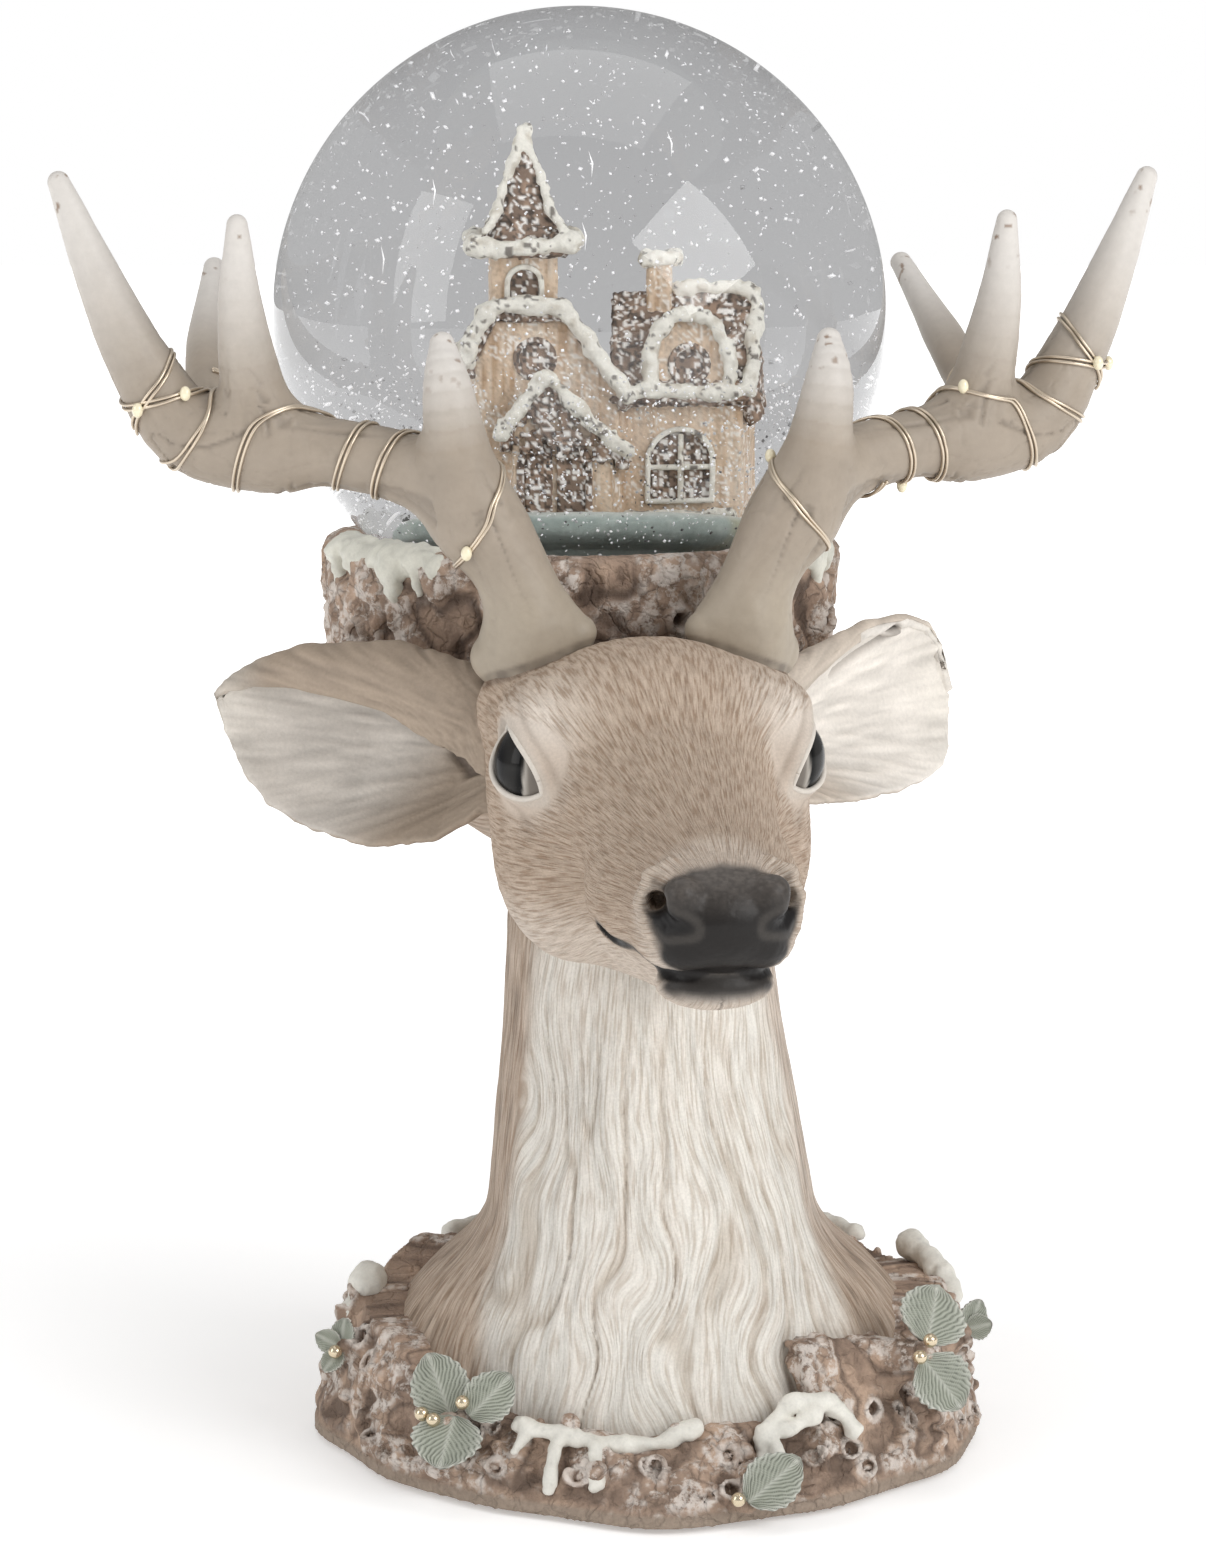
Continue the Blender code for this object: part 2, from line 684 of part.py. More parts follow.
GROUND_RADIUS = 23.8 * MM
GROUND = GROUND_TOP - GLOBE_CENTRE.z  # from the globe's centre


def water():
    """What the ball holds: everything but the stopper and a cone that clears the little scene."""
    lip = NECK_BOTTOM - GLOBE_CENTRE.z
    radius = GLOBE_RADIUS - GLASS_WALL - GAP
    rim = NECK_INNER - GAP
    end = -math.degrees(math.acos(rim / radius))
    bottom = lip + 7 * MM + GAP
    outline = [(0, radius), *arc((0, 0), radius, 90, end, 12)[1:], (rim, bottom), (18.4 * MM, bottom)]
    outline += [(18.4 * MM, GROUND - 5.4 * MM), (GROUND_RADIUS + 0.5 * MM, GROUND - 5.4 * MM)]
    outline += [(GROUND_RADIUS + 0.5 * MM, GROUND + 20 * MM), (19 * MM, GROUND + 33 * MM)]
    outline += [(15.5 * MM, GROUND + 38 * MM), (9.2 * MM, GROUND + 48.4 * MM), (0, GROUND + 49.5 * MM)]
    return add("water_fill", turned(outline, SPHERE_STEPS), WATER, globe)


def ground():
    """The icy ground, on a post that stands on the stopper."""
    lip = NECK_BOTTOM - GLOBE_CENTRE.z
    low = lip + 7 * MM + GAP
    outline = ((0, low), (18 * MM, low), (18 * MM, GROUND - 5 * MM), (22 * MM, GROUND - 5 * MM))
    outline += ((GROUND_RADIUS, GROUND - 3 * MM), (GROUND_RADIUS, GROUND - 1 * MM))
    outline += ((22.5 * MM, GROUND), (0, GROUND))
    return add("scene_ground", turned(outline, 24), ICE, globe)


def prism(outline, depth_from, depth_to):
    """An outline in (x, z) carried from one y to another, in millimetres above the ground."""
    lift = GROUND + GAP
    rings = [[Vector((x * MM, y * MM, lift + z * MM)) for x, z in outline] for y in (depth_from, depth_to)]
    return bridged(rings)


def house():
    """A gabled nave with a porch and a steeple, and a wing with a dormer and a chimney."""
    nave = ((-13, 0), (5, 0), (5, 16), (-4.5, 26), (-13, 19))
    obj = add("scene_house", prism(nave, -5, 9), HOUSE, globe)
    wing_walls = prism(((4, 0), (20, 0), (20, 15), (4, 15)), -3, 9)
    porch = prism(((-9, 0), (4.8, 0), (4.8, 8.6), (-3.5, 17), (-9, 11)), -9.5, -4)
    tower = prism(((-12.2, 18), (-4.2, 18), (-4.2, 33), (-12.2, 33)), -3, 5)
    dormer = prism(((9, 14.5), (19, 14.5), (18.6, 20), (14.5, 25.4), (9.5, 20.5)), -3.4, 4)
    chimney = prism(((8.2, 20), (12, 20), (12, 32), (8.2, 32)), 1.5, 5)
    roof = box((17 * MM, 14 * MM, 12.5 * MM), (12.3 * MM, 3 * MM, GROUND + 20.9 * MM))
    for v in roof.verts:
        if v.co.z > GROUND + 20 * MM:
            v.co.y = 3 * MM + (v.co.y - 3 * MM) * 0.15
    spire = cylinder(8.6 * MM, GROUND + 32 * MM, GROUND + 38 * MM, 4, end_radius=4.6 * MM)
    tip = cylinder(5.2 * MM, GROUND + 37 * MM, GROUND + 47.4 * MM, 4, end_radius=0.5 * MM)
    for bm in (spire, tip):
        bmesh.ops.rotate(bm, matrix=Matrix.Rotation(math.pi / 4, 3, "Z"), verts=bm.verts)
        bmesh.ops.translate(bm, vec=(-8.2 * MM, 1 * MM, 0), verts=bm.verts)
    shapes = (wing_walls, porch, tower, dormer, chimney, roof, spire, tip)
    fuse(obj, *[helper(f"house_block_{i}", bm, globe) for i, bm in enumerate(shapes)])
    return obj


# --- bark base, leaves and berries --------------------------------------------------------------
BARK_LEVELS = (0, 0.05, 0.3, 0.55, 0.8, 1.0)
BARK_SIDES = 60


def bark_height(angle):
    """Low in front of the chest, higher round the sides and the back."""
    front = max(0.0, -math.sin(angle))
    return 23.0 - 11.0 * front**1.5 + 1.2 * rough((math.cos(angle), math.sin(angle), 0), 3.0, 4.0)


def bark_radius(angle, level):
    """Outer radius in millimetres at a share of the bark's height."""
    at = Vector((math.cos(angle), math.sin(angle), 0.7 * level))
    lobes = 1.3 * math.cos(5 * angle + 0.6) * (1 - 0.4 * level)
    bumps = 0.9 * rough(at, 4.0, 1.0)
    swell = 1.5 * math.sin(math.pi * min(1.0, 0.25 + level * 0.75))
    return 52.6 + lobes + bumps + swell - 1.6 * level


def bark():
    """A ring of bark, with a ledge inside that carries the bust and takes the plate's screws."""
    outer = []
    inner = []
    for level in BARK_LEVELS:
        ring = []
        wall = []
        for i in range(BARK_SIDES):
            angle = 2 * math.pi * i / BARK_SIDES
            lift = 0.5 if level == 0 else 0.0
            radius = bark_radius(angle, level) - 2 * lift
            height = PLATE_BOTTOM / MM - 1.2 + (bark_height(angle) - 0.6) * level
            ring.append(Vector((radius * math.cos(angle), radius * math.sin(angle), height)) * MM)
            wall.append(Vector((WELL_RADIUS * math.cos(angle), WELL_RADIUS * math.sin(angle), height * MM)))
        outer.append(ring)
        inner.append(wall)
    obj = add("bark_base", bridged([*outer, inner[-1], inner[0]], closed=True), BARK)
    ledge = turned(
        (
            (LEDGE_RADIUS, LEDGE_BOTTOM),
            (WELL_RADIUS + 2 * MM, LEDGE_BOTTOM),
            (WELL_RADIUS + 2 * MM, LEDGE_TOP),
            (LEDGE_RADIUS, LEDGE_TOP),
        ),
        48,
    )
    fuse(obj, helper("bark_ledge", ledge))
    for i, place in plate_screws():
        cut(obj, helper(f"ledge_hole_{i}", cylinder(1.5 * MM, 0.003, 9 * MM, 10), None, place))
    return obj


def plate_screws():
    """(number, place) of the four screws."""
    angles = [math.radians(45 + 90 * i) for i in range(4)]
    circle = PLATE_SCREW_CIRCLE
    return [(i + 1, (circle * math.cos(a), circle * math.sin(a), 0)) for i, a in enumerate(angles)]


def leaf_sheet(angle, height, turn, length, width):
    """A leaf wrapped on the bark: its root at (angle, height), pointing along turn (0 is sideways)."""
    rings = []
    for t in (0, 0.2, 0.45, 0.72, 1):
        half = width * max(0.09, 0.5 * math.sin(math.pi * t**0.8))
        ring = []
        for depth, sides in ((0, (-1, 0, 1)), (1, (1, 0, -1))):
            for u in sides:
                lift = leaf_lift(t, u) + depth * 0.9
                ring.append(on_bark(angle, height, turn, length * t, half * u, lift))
        rings.append(ring)
    return bridged(rings)


def leaf_lift(t, u):
    """How far the leaf's inner face stands off the bark."""
    return 0.6 + 1.6 * t * t + 0.8 * abs(u)


def on_bark(angle, height, turn, along, across, lift):
    side = along * math.cos(turn) - across * math.sin(turn)
    rise = along * math.sin(turn) + across * math.cos(turn)
    z = height + rise
    level = min(1.0, max(0.0, z / bark_height(angle)))
    here = angle + side / 54
    radius = bark_radius(here, level) + lift
    return Vector((radius * math.cos(here), radius * math.sin(here), z)) * MM


def sprig(name, angle, height, leaves):
    """Leaves that share a foot, each (turn in degrees, length, width), melted into one casting."""
    foot = on_bark(angle, height, 0, 0, 0, 2.0)
    shapes = [ball(foot, [1.5 * MM] * 3, sides=10)]
    for turn, length, width in leaves:
        shapes.append(leaf_sheet(angle, height, math.radians(turn), length, width))
    obj = add(name, joined(shapes), LEAF)
    melt(obj, 0.4 * MM, 2, 0.06)
    return obj


BERRY_RADIUS = 2.5
BERRIES = (  # (degrees, height, clearance over the bark): the first five lie on the leaves
    (-132.5, 9.5, 2.4),
    (-124, 4, 2.4),
    (-122.5, 12, 3.2),
    (-46.5, 14.5, 2.4),
    (-37.5, 8, 2.4),
    (-80.5, 3.6, 0.6),
)


def berry(name, degrees, height, clearance):
    place = on_bark(math.radians(degrees), height, 0, 0, 0, clearance + BERRY_RADIUS)
    return add(name, ball((0, 0, 0), [BERRY_RADIUS * MM] * 3, sides=10), GOLD, None, place)


# --- underside ----------------------------------------------------------------------------------
def door_outline(grow):
    """(size, centre) of the door's rectangle on the ground plane."""
    left = -31.4 * MM - grow
    right = HINGE_X + grow
    half = 9.6 * MM + grow
    return (right - left, 2 * half), ((left + right) / 2, CASE_Y)


def slab(outline, bottom, top):
    size, centre = outline
    return box((size[0], size[1], top - bottom), (centre[0], centre[1], (bottom + top) / 2))


def base_plate():
    obj = add("base_plate", cylinder(PLATE_RADIUS - GAP, PLATE_BOTTOM, PLATE_TOP, 48), PLASTIC)
    opening = slab(door_outline(GAP + 0.8 * MM), 0.001, 0.006)
    slot = box(((3 + 0.8) * MM + SWITCH_TRAVEL, 3.4 * MM, 0.01), SWITCH + Vector((0, 0, 0.003)))
    cutters = [helper("door_opening", opening), helper("switch_slot", slot)]
    for i, place in plate_screws():
        cutters.append(helper(f"plate_hole_{i}", cylinder(1.5 * MM, 0.001, 0.006, 10), None, place))
        cutters.append(helper(f"plate_sink_{i}", cylinder(2.7 * MM, 0.001, 3 * MM, 14), None, place))
    cut(obj, *cutters)
    return obj


def screw(name, place, head_bottom, head_top, tip, collar=None):
    """A pan-head screw, head down, with a cross in it. The collar keeps it in the door."""
    outline = [(0, head_bottom), (2.3 * MM, head_bottom), (2.3 * MM, head_top), (1.15 * MM, head_top)]
    if collar:
        outline += [(1.15 * MM, collar[0]), (1.8 * MM, collar[0])]
        outline += [(1.8 * MM, collar[1]), (1.15 * MM, collar[1])]
    outline += [(1.15 * MM, tip - 0.8 * MM), (0.5 * MM, tip), (0, tip)]
    obj = add(name, turned(outline, 12), STEEL, None, place)
    cut(obj, helper(name + "_cross", cross(head_bottom), None, place))
    return obj


def cross(height):
    """A plus-shaped cutter for a screw's head."""
    corners = []
    for i in range(4):
        turn = Matrix.Rotation(i * math.pi / 2, 3, "Z")
        corners += [turn @ (Vector(p) * MM) for p in ((0.3, -0.3, 0), (1.5, -0.3, 0), (1.5, 0.3, 0))]
    return bridged([[p + Vector((0, 0, height + d * MM)) for p in corners] for d in (-0.4, 0.45)])


def pad():
    """A soft sheet under the plate, cut out round the door, the switch and the screws."""
    obj = add("base_pad", cylinder(PAD_RADIUS, 0, PAD_THICKNESS, 48), RUBBER)
    opening = slab(door_outline(2 * MM), -0.001, 0.003)
    hole = box((11 * MM, 7 * MM, 0.01), SWITCH)
    cutters = [helper("pad_door_hole", opening), helper("pad_switch_hole", hole)]
    for i, place in plate_screws():
        cutters.append(helper(f"pad_hole_{i}", cylinder(3 * MM, -0.001, 0.003, 12), None, place))
    cut(obj, *cutters)
    return obj


def case():
    """A tub, open at the bottom, with a boss for the door's screw beside it."""
    outer = (2 * (CASE_HALF_X + CASE_WALL), 2 * (CASE_HALF_Y + CASE_WALL)), (0, CASE_Y)
    inner = (2 * CASE_HALF_X, 2 * CASE_HALF_Y), (0, CASE_Y)
    obj = add("battery_case", slab(outer, PLATE_TOP + GAP, CASE_TOP), PLASTIC)
    boss = box((6.4 * MM, 7 * MM, 10 * MM), (-28.6 * MM, CASE_Y, PLATE_TOP + GAP + 5 * MM))
    fuse(obj, helper("case_boss", boss))
    cut(obj, helper("case_inside", slab(inner, 0.001, CASE_TOP - CASE_WALL)))
    hole = cylinder(1.9 * MM, 0.001, 12 * MM, 12)
    cut(obj, helper("case_boss_hole", hole, None, (DOOR_SCREW_X, CASE_Y, 0)))
    return obj


def door():
    """A plate that swings on its rounded end, which is its origin."""
    hinge = Vector((HINGE_X, CASE_Y, HINGE_Z))
    size, centre = door_outline(0)
    plate = box((*size, DOOR_THICKNESS), Vector((*centre, HINGE_Z)) - hinge)
    obj = add("battery_door", plate, PLASTIC, None, hinge)
    knuckle = cylinder(DOOR_THICKNESS / 2, -9.6 * MM, 9.6 * MM, 12)
    bmesh.ops.rotate(knuckle, matrix=Matrix.Rotation(math.pi / 2, 3, "X"), verts=knuckle.verts)
    fuse(obj, helper("door_knuckle", knuckle, None, hinge))
    place = (DOOR_SCREW_X, CASE_Y, 0)
    hole = helper("door_hole", cylinder(1.5 * MM, 0, 0.006, 12), None, place)
    sink = helper("door_sink", cylinder(2.7 * MM, 0, PLATE_BOTTOM + 0.9 * MM, 14), None, place)
    cut(obj, hole, sink)
    return obj


def cell(name, y, way):
    """A small cylindrical cell, its nub towards way along X."""
    half = CELL_BODY / 2
    outline = [(0, -half), (CELL_RADIUS, -half), (CELL_RADIUS, half), (1.9 * MM, half)]
    outline += [(1.9 * MM, half + CELL_NUB), (0, half + CELL_NUB)]
    shift = way * (CASE_HALF_X - 1.0 * MM - GAP - half - CELL_NUB)
    turn = (0, way * math.pi / 2, 0)
    return add(name, turned(outline, 20), CELL_SLEEVE, None, (shift, y, CELL_Z), turn)


def spring(y, way):
    """A short coil that presses on a cell, standing on a contact on the side way along X."""
    turns = 2.25
    steps = 18
    path = []
    for i in range(steps + 1):
        t = i / steps
        angle = 2 * math.pi * turns * t
        radius = (2.8 - 1.0 * t) * MM
        x = CASE_HALF_X - 0.9 * MM - (SPRING_LENGTH - 0.7 * MM) * t
        path.append(Vector((way * x, y + radius * math.cos(angle), CELL_Z + radius * math.sin(angle))))
    return swept(path, [0.3 * MM] * len(path), 5)


def contact(name, way, low, high, spring_y=None):
    """A strip against the end wall of the case."""
    x = way * (CASE_HALF_X - GAP - 0.35 * MM)
    strip = box((0.7 * MM, high - low, 8 * MM), (x, (low + high) / 2, CELL_Z))
    obj = add(name, strip, STEEL)
    if spring_y is not None:
        fuse(obj, helper(name + "_spring", spring(spring_y, way)))
    return obj


def switch_body():
    obj = add("switch_body", box((12 * MM, 6 * MM, 5 * MM), SWITCH + Vector((0, 0, 6.9 * MM))), PLASTIC)
    inside = box((9.4 * MM, 4.2 * MM, 6 * MM), SWITCH + Vector((0, 0, 4.9 * MM)))
    cut(obj, helper("switch_inside", inside))
    return obj


def switch_knob():
    """Shown switched off: half the travel to -X."""
    off = SWITCH - Vector((SWITCH_TRAVEL / 2, 0, 0))
    obj = add("switch_knob", box((3 * MM, 2.6 * MM, 5 * MM), (0, 0, 3.3 * MM)), RUBBER, None, off)
    foot = box((5 * MM, 3.4 * MM, 2 * MM), (0, 0, 5.6 * MM))
    fuse(obj, helper("switch_foot", foot, None, off))
    return obj


# --- assembly -----------------------------------------------------------------------------------
globe = globe_frame()
bust()
bark()
for tag, way in (("left", -1), ("right", 1)):
    ear("ear_" + tag, way)
    eye("eye_" + tag, way)
    antler("antler_" + tag, way)
    light_wire("light_wire_" + tag, way)
    cable("lead_cable_" + tag, way)
    for number, share in enumerate(BEADS, 1):
        bead(f"led_bead_{tag}_{number}", way, share)
stump()
glass()
stopper()
water()
ground()
house()
sprig("leaf_sprig_left", math.radians(-128), 7, ((150, 17, 9), (62, 15, 9), (20, 15, 9)))
sprig("leaf_sprig_right", math.radians(-42), 11, ((20, 15, 8), (75, 11, 7), (150, 12, 6)))
sprig("leaf_sprig_front", math.radians(-73), 4, ((35, 13, 8), (5, 9, 5)))
for number, spot in enumerate(BERRIES, 1):
    berry(f"berry_{number}", *spot)
base_plate()
pad()
case()
door()
screw("door_screw", (DOOR_SCREW_X, CASE_Y, 0), PLATE_BOTTOM, 2.4 * MM, 9 * MM, (3.65 * MM, 4.1 * MM))
for number, spot in plate_screws():
    screw(f"plate_screw_{number}", spot, PLATE_BOTTOM + 0.1 * MM, 2.7 * MM, 8.4 * MM)
cell("cell_1", CELL_Y[0], 1)
cell("cell_2", CELL_Y[1], -1)
contact("contact_bridge", -1, CELL_Y[0] - 4 * MM, CELL_Y[1] + 4 * MM, CELL_Y[0])
contact("contact_positive", 1, CELL_Y[0] - 4 * MM, CELL_Y[0] + 4 * MM)
contact("contact_negative", 1, CELL_Y[1] - 4 * MM, CELL_Y[1] + 4 * MM, CELL_Y[1])
switch_body()
switch_knob()
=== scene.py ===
"""The looks of a snow globe that stands on a stag's head.

Shapes are worked out in millimetres: most as distance fields that are meshed, refined and then
carved with fur, bark or snow. The head, antlers, stump and globe share a turned frame, as in the CAD.
"""

import json
import math

import bpy
import numpy as np
from mathutils import Matrix, Vector

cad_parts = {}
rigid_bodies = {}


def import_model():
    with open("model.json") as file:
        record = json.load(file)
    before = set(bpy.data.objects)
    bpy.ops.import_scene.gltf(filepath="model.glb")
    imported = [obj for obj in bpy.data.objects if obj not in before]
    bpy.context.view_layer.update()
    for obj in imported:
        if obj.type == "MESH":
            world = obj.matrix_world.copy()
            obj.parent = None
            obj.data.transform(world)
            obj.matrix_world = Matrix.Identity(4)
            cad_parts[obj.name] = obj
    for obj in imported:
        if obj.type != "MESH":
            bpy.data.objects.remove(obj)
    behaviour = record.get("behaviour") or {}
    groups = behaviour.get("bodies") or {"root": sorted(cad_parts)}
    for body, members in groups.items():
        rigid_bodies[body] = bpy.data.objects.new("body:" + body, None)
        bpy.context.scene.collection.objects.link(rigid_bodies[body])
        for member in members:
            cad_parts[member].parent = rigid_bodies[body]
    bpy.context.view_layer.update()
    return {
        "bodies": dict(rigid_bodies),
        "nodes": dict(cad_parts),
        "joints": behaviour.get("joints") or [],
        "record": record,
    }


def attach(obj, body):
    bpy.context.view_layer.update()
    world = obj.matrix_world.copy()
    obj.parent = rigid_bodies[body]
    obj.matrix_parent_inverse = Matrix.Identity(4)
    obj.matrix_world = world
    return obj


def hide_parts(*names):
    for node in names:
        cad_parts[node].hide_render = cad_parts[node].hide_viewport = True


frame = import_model()

BODY = "globe_and_bust"
MM = 0.001
HEAD_AXIS = np.array((-3.0, -12.0, 0.0))
HEAD_TURN = math.radians(10)
GLOBE = np.array((0.0, 50.7, 175.0))  # the ball's centre, in the head's frame
GLOBE_RADIUS = 50.0
GROUND = 149.0  # the snowy ground inside the ball
SIDES = (("left", -1), ("right", 1))  # at -X and at +X


# --- numbers ------------------------------------------------------------------------------------
def lattice(cell, seed):
    """A repeatable value from -1 to 1 for each whole-numbered cell."""
    n = cell[..., 0] * 374761393 + cell[..., 1] * 668265263 + cell[..., 2] * 1274126177 + seed * 974711
    n = (n ^ (n >> 13)) * 1274126177
    n = n ^ (n >> 16)
    return (n & 0xFFFF) / 32767.5 - 1


def noise(points, seed=0):
    """Smooth value noise from -1 to 1 with cells of one unit."""
    base = np.floor(points).astype(np.int64)
    part = points - base
    part = part * part * (3 - 2 * part)
    total = np.zeros(len(points))
    for corner in range(8):
        offset = np.array((corner & 1, corner >> 1 & 1, corner >> 2))
        weight = np.prod(np.where(offset, part, 1 - part), axis=1)
        total += weight * lattice(base + offset, seed)
    return total


def layered(points, seed=0, layers=3):
    """Noise with finer noise on top."""
    total = 0
    for i in range(layers):
        total = total + noise(points * 2**i, seed + 17 * i) / 2**i
    return total / 1.6


def smooth(value, low, high):
    """0 below low, 1 above high, and a soft step between. low may be the larger."""
    t = np.clip((value - low) / (high - low), 0, 1)
    return t * t * (3 - 2 * t)


def mix(a, b, share):
    """Blends colours a and b by an array of shares."""
    return np.asarray(a) + (np.asarray(b) - np.asarray(a)) * np.asarray(share)[:, None]


def norm(rows):
    """The length of each vector, or of one."""
    return np.linalg.norm(rows, axis=-1)


def unit(rows):
    """Each vector, or one, at length 1."""
    return rows / np.maximum(np.linalg.norm(rows, axis=-1, keepdims=True), 1e-9)


def about(q, axis):
    """How far along an axis each point is, and how far away from it."""
    along = q @ axis
    return along, norm(q - along[:, None] * axis)


def joined(a, b, k):
    """The smooth union of two fields."""
    h = np.clip(0.5 + 0.5 * (b - a) / k, 0, 1)
    return b + (a - b) * h - k * h * (1 - h)


def carved(a, b, k):
    """Field a with the solid b taken out, its edge rounded by k."""
    return -joined(-a, b, k)


def ellipsoid(p, centre, radii):
    """About the distance to an ellipsoid, negative inside it."""
    q = p - np.array(centre, float)
    r = np.array(radii, float)
    near = norm(q / r)
    return near * (near - 1) / np.maximum(norm(q / r**2), 1e-9)


def limb(p, a, b, ra, rb):
    """A round bar from a to b that tapers."""
    a, b = np.array(a, float), np.array(b, float)
    t = np.clip((p - a) @ (b - a) / ((b - a) @ (b - a)), 0, 1)
    return norm(p - a - t[:, None] * (b - a)) - (ra + (rb - ra) * t)


def chain(p, points, radii, k):
    """Limbs joined end to end."""
    field = np.full(len(p), 1e3)
    for a, b, ra, rb in zip(points, points[1:], radii, radii[1:]):
        field = joined(field, limb(p, a, b, ra, rb), k)
    return field


def spline(points, steps):
    """A Catmull-Rom curve through rows of numbers."""
    points = np.array(points, float)
    padded = np.vstack((2 * points[0] - points[1], points, 2 * points[-1] - points[-2]))
    made = []
    for a, b, c, d in zip(padded, padded[1:], padded[2:], padded[3:]):
        for t in np.arange(steps) / steps:
            cube = (3 * b - a - 3 * c + d) * t**3
            made.append(0.5 * (2 * b + (c - a) * t + (2 * a - 5 * b + 4 * c - d) * t * t + cube))
    made.append(points[-1])
    return np.array(made)


def travelled(path):
    """How far along a path each of its points is."""
    return np.append(0, np.cumsum(norm(np.diff(path, axis=0))))


def looked_up(at, places, rows):
    """Rows of numbers, known at some places, read between them."""
    return np.stack([np.interp(at, places, column) for column in rows.T], 1)


def to_head(p):
    """From the base's frame to the turned frame of the head."""
    q = p - HEAD_AXIS
    c, s = math.cos(HEAD_TURN), math.sin(HEAD_TURN)
    return np.stack((c * q[:, 0] + s * q[:, 1], c * q[:, 1] - s * q[:, 0], q[:, 2]), axis=1)


def from_head(p):
    """From the turned frame of the head to the base's frame."""
    p = np.asarray(p, float).reshape(-1, 3)
    c, s = math.cos(HEAD_TURN), math.sin(HEAD_TURN)
    return np.stack((c * p[:, 0] - s * p[:, 1], c * p[:, 1] + s * p[:, 0], p[:, 2]), axis=1) + HEAD_AXIS


def sided(points, faces, side):
    """A piece made for +X, put into place there or, with side -1, mirrored."""
    placed = from_head(points * (side, 1, 1))
    return placed, faces if side > 0 else tuple(f[:, ::-1] for f in faces)


# --- meshes from fields ---------------------------------------------------------------------------
CORNERS = np.array([(i >> 2 & 1, i >> 1 & 1, i & 1) for i in range(8)])
BLOCK = 6


def sampled(field, low, high, step, reach):
    """The field on a grid, worked out only in blocks that its surface may cross."""
    low = np.array(low, float)
    counts = np.ceil((np.array(high) - low) / step / BLOCK).astype(int) + 1
    blocks = np.stack(np.meshgrid(*[np.arange(n) for n in counts], indexing="ij"), -1).reshape(-1, 3)
    middles = low + (blocks * BLOCK + (BLOCK - 1) / 2) * step
    coarse = field(middles)
    values = np.repeat(np.repeat(np.repeat(coarse.reshape(counts), BLOCK, 0), BLOCK, 1), BLOCK, 2)
    near = blocks[np.abs(coarse) < reach * BLOCK * step]
    inner = np.stack(np.meshgrid(*[np.arange(BLOCK)] * 3, indexing="ij"), -1).reshape(-1, 3)
    index = (near[:, None, :] * BLOCK + inner).reshape(-1, 3)
    values[tuple(index.T)] = field(low + index * step)
    return values, low


def crossed_cells(inside):
    """The grid's cells with corners on both sides of the surface."""
    count = 0
    for corner in CORNERS:
        window = tuple(slice(c, n - 1 + c) for c, n in zip(corner, inside.shape))
        count = count + inside[window].astype(np.int8)
    return np.argwhere((count > 0) & (count < 8))


def cell_middles(values, cells):
    """The middle of the places where the surface crosses each cell's edges."""
    total = np.zeros((len(cells), 3))
    hits = np.zeros(len(cells))
    for a in range(8):
        for b in range(a + 1, 8):
            if np.abs(CORNERS[a] - CORNERS[b]).sum() != 1:
                continue
            va = values[tuple((cells + CORNERS[a]).T)]
            vb = values[tuple((cells + CORNERS[b]).T)]
            cross = (va < 0) != (vb < 0)
            t = np.where(cross, va / np.where(cross, va - vb, 1), 0)
            total += np.where(cross[:, None], CORNERS[a] + t[:, None] * (CORNERS[b] - CORNERS[a]), 0)
            hits += cross
    return cells + total / hits[:, None]


def surface_net(field, low, high, step, reach):
    """Points and quads of the surface where the field is zero."""
    values, low = sampled(field, low, high, step, reach)
    inside = values < 0
    cells = crossed_cells(inside)
    number = np.full(inside.shape, -1)
    number[tuple(cells.T)] = np.arange(len(cells))
    quads = []
    for axis in range(3):
        u, v = [np.eye(3, dtype=int)[(axis + i) % 3] for i in (1, 2)]
        ahead = np.roll(inside, -1, axis)
        at = np.argwhere(inside != ahead)
        within = (at[:, (axis + 1) % 3] > 0) & (at[:, (axis + 2) % 3] > 0)
        at = at[within & (at[:, axis] < inside.shape[axis] - 1)]
        ring = np.stack([number[tuple((at - o).T)] for o in (0 * u, u, u + v, v)], 1)
        leaving = inside[tuple(at.T)]
        quads.append(np.where(leaving[:, None], ring, ring[:, ::-1]))
    quads = np.vstack(quads)
    return low + cell_middles(values, cells) * step, quads[(quads >= 0).all(1)]


def subdivided(points, quads):
    """Each quad cut in four."""
    edges = np.sort(np.stack((quads, np.roll(quads, -1, 1)), -1).reshape(-1, 2), axis=1)
    unique, which = np.unique(edges, axis=0, return_inverse=True)
    middle = len(points) + which.reshape(-1, 4)
    centre = len(points) + len(unique) + np.arange(len(quads))
    made = np.vstack((points, points[unique].mean(1), points[quads].mean(1)))
    parts = [np.stack((quads[:, i], middle[:, i], centre, middle[:, i - 1]), 1) for i in range(4)]
    return made, np.vstack(parts)


def slope(field, points, step=0.12):
    """The field's value and gradient."""
    value = field(points)
    return value, np.stack([(field(points + step * axis) - value) / step for axis in np.eye(3)], 1)


def settled(field, points):
    """Points moved onto the field's surface."""
    value, gradient = slope(field, points)
    size = np.maximum((gradient**2).sum(1), 0.15)
    return points - np.clip(value / size, -0.5, 0.5)[:, None] * gradient


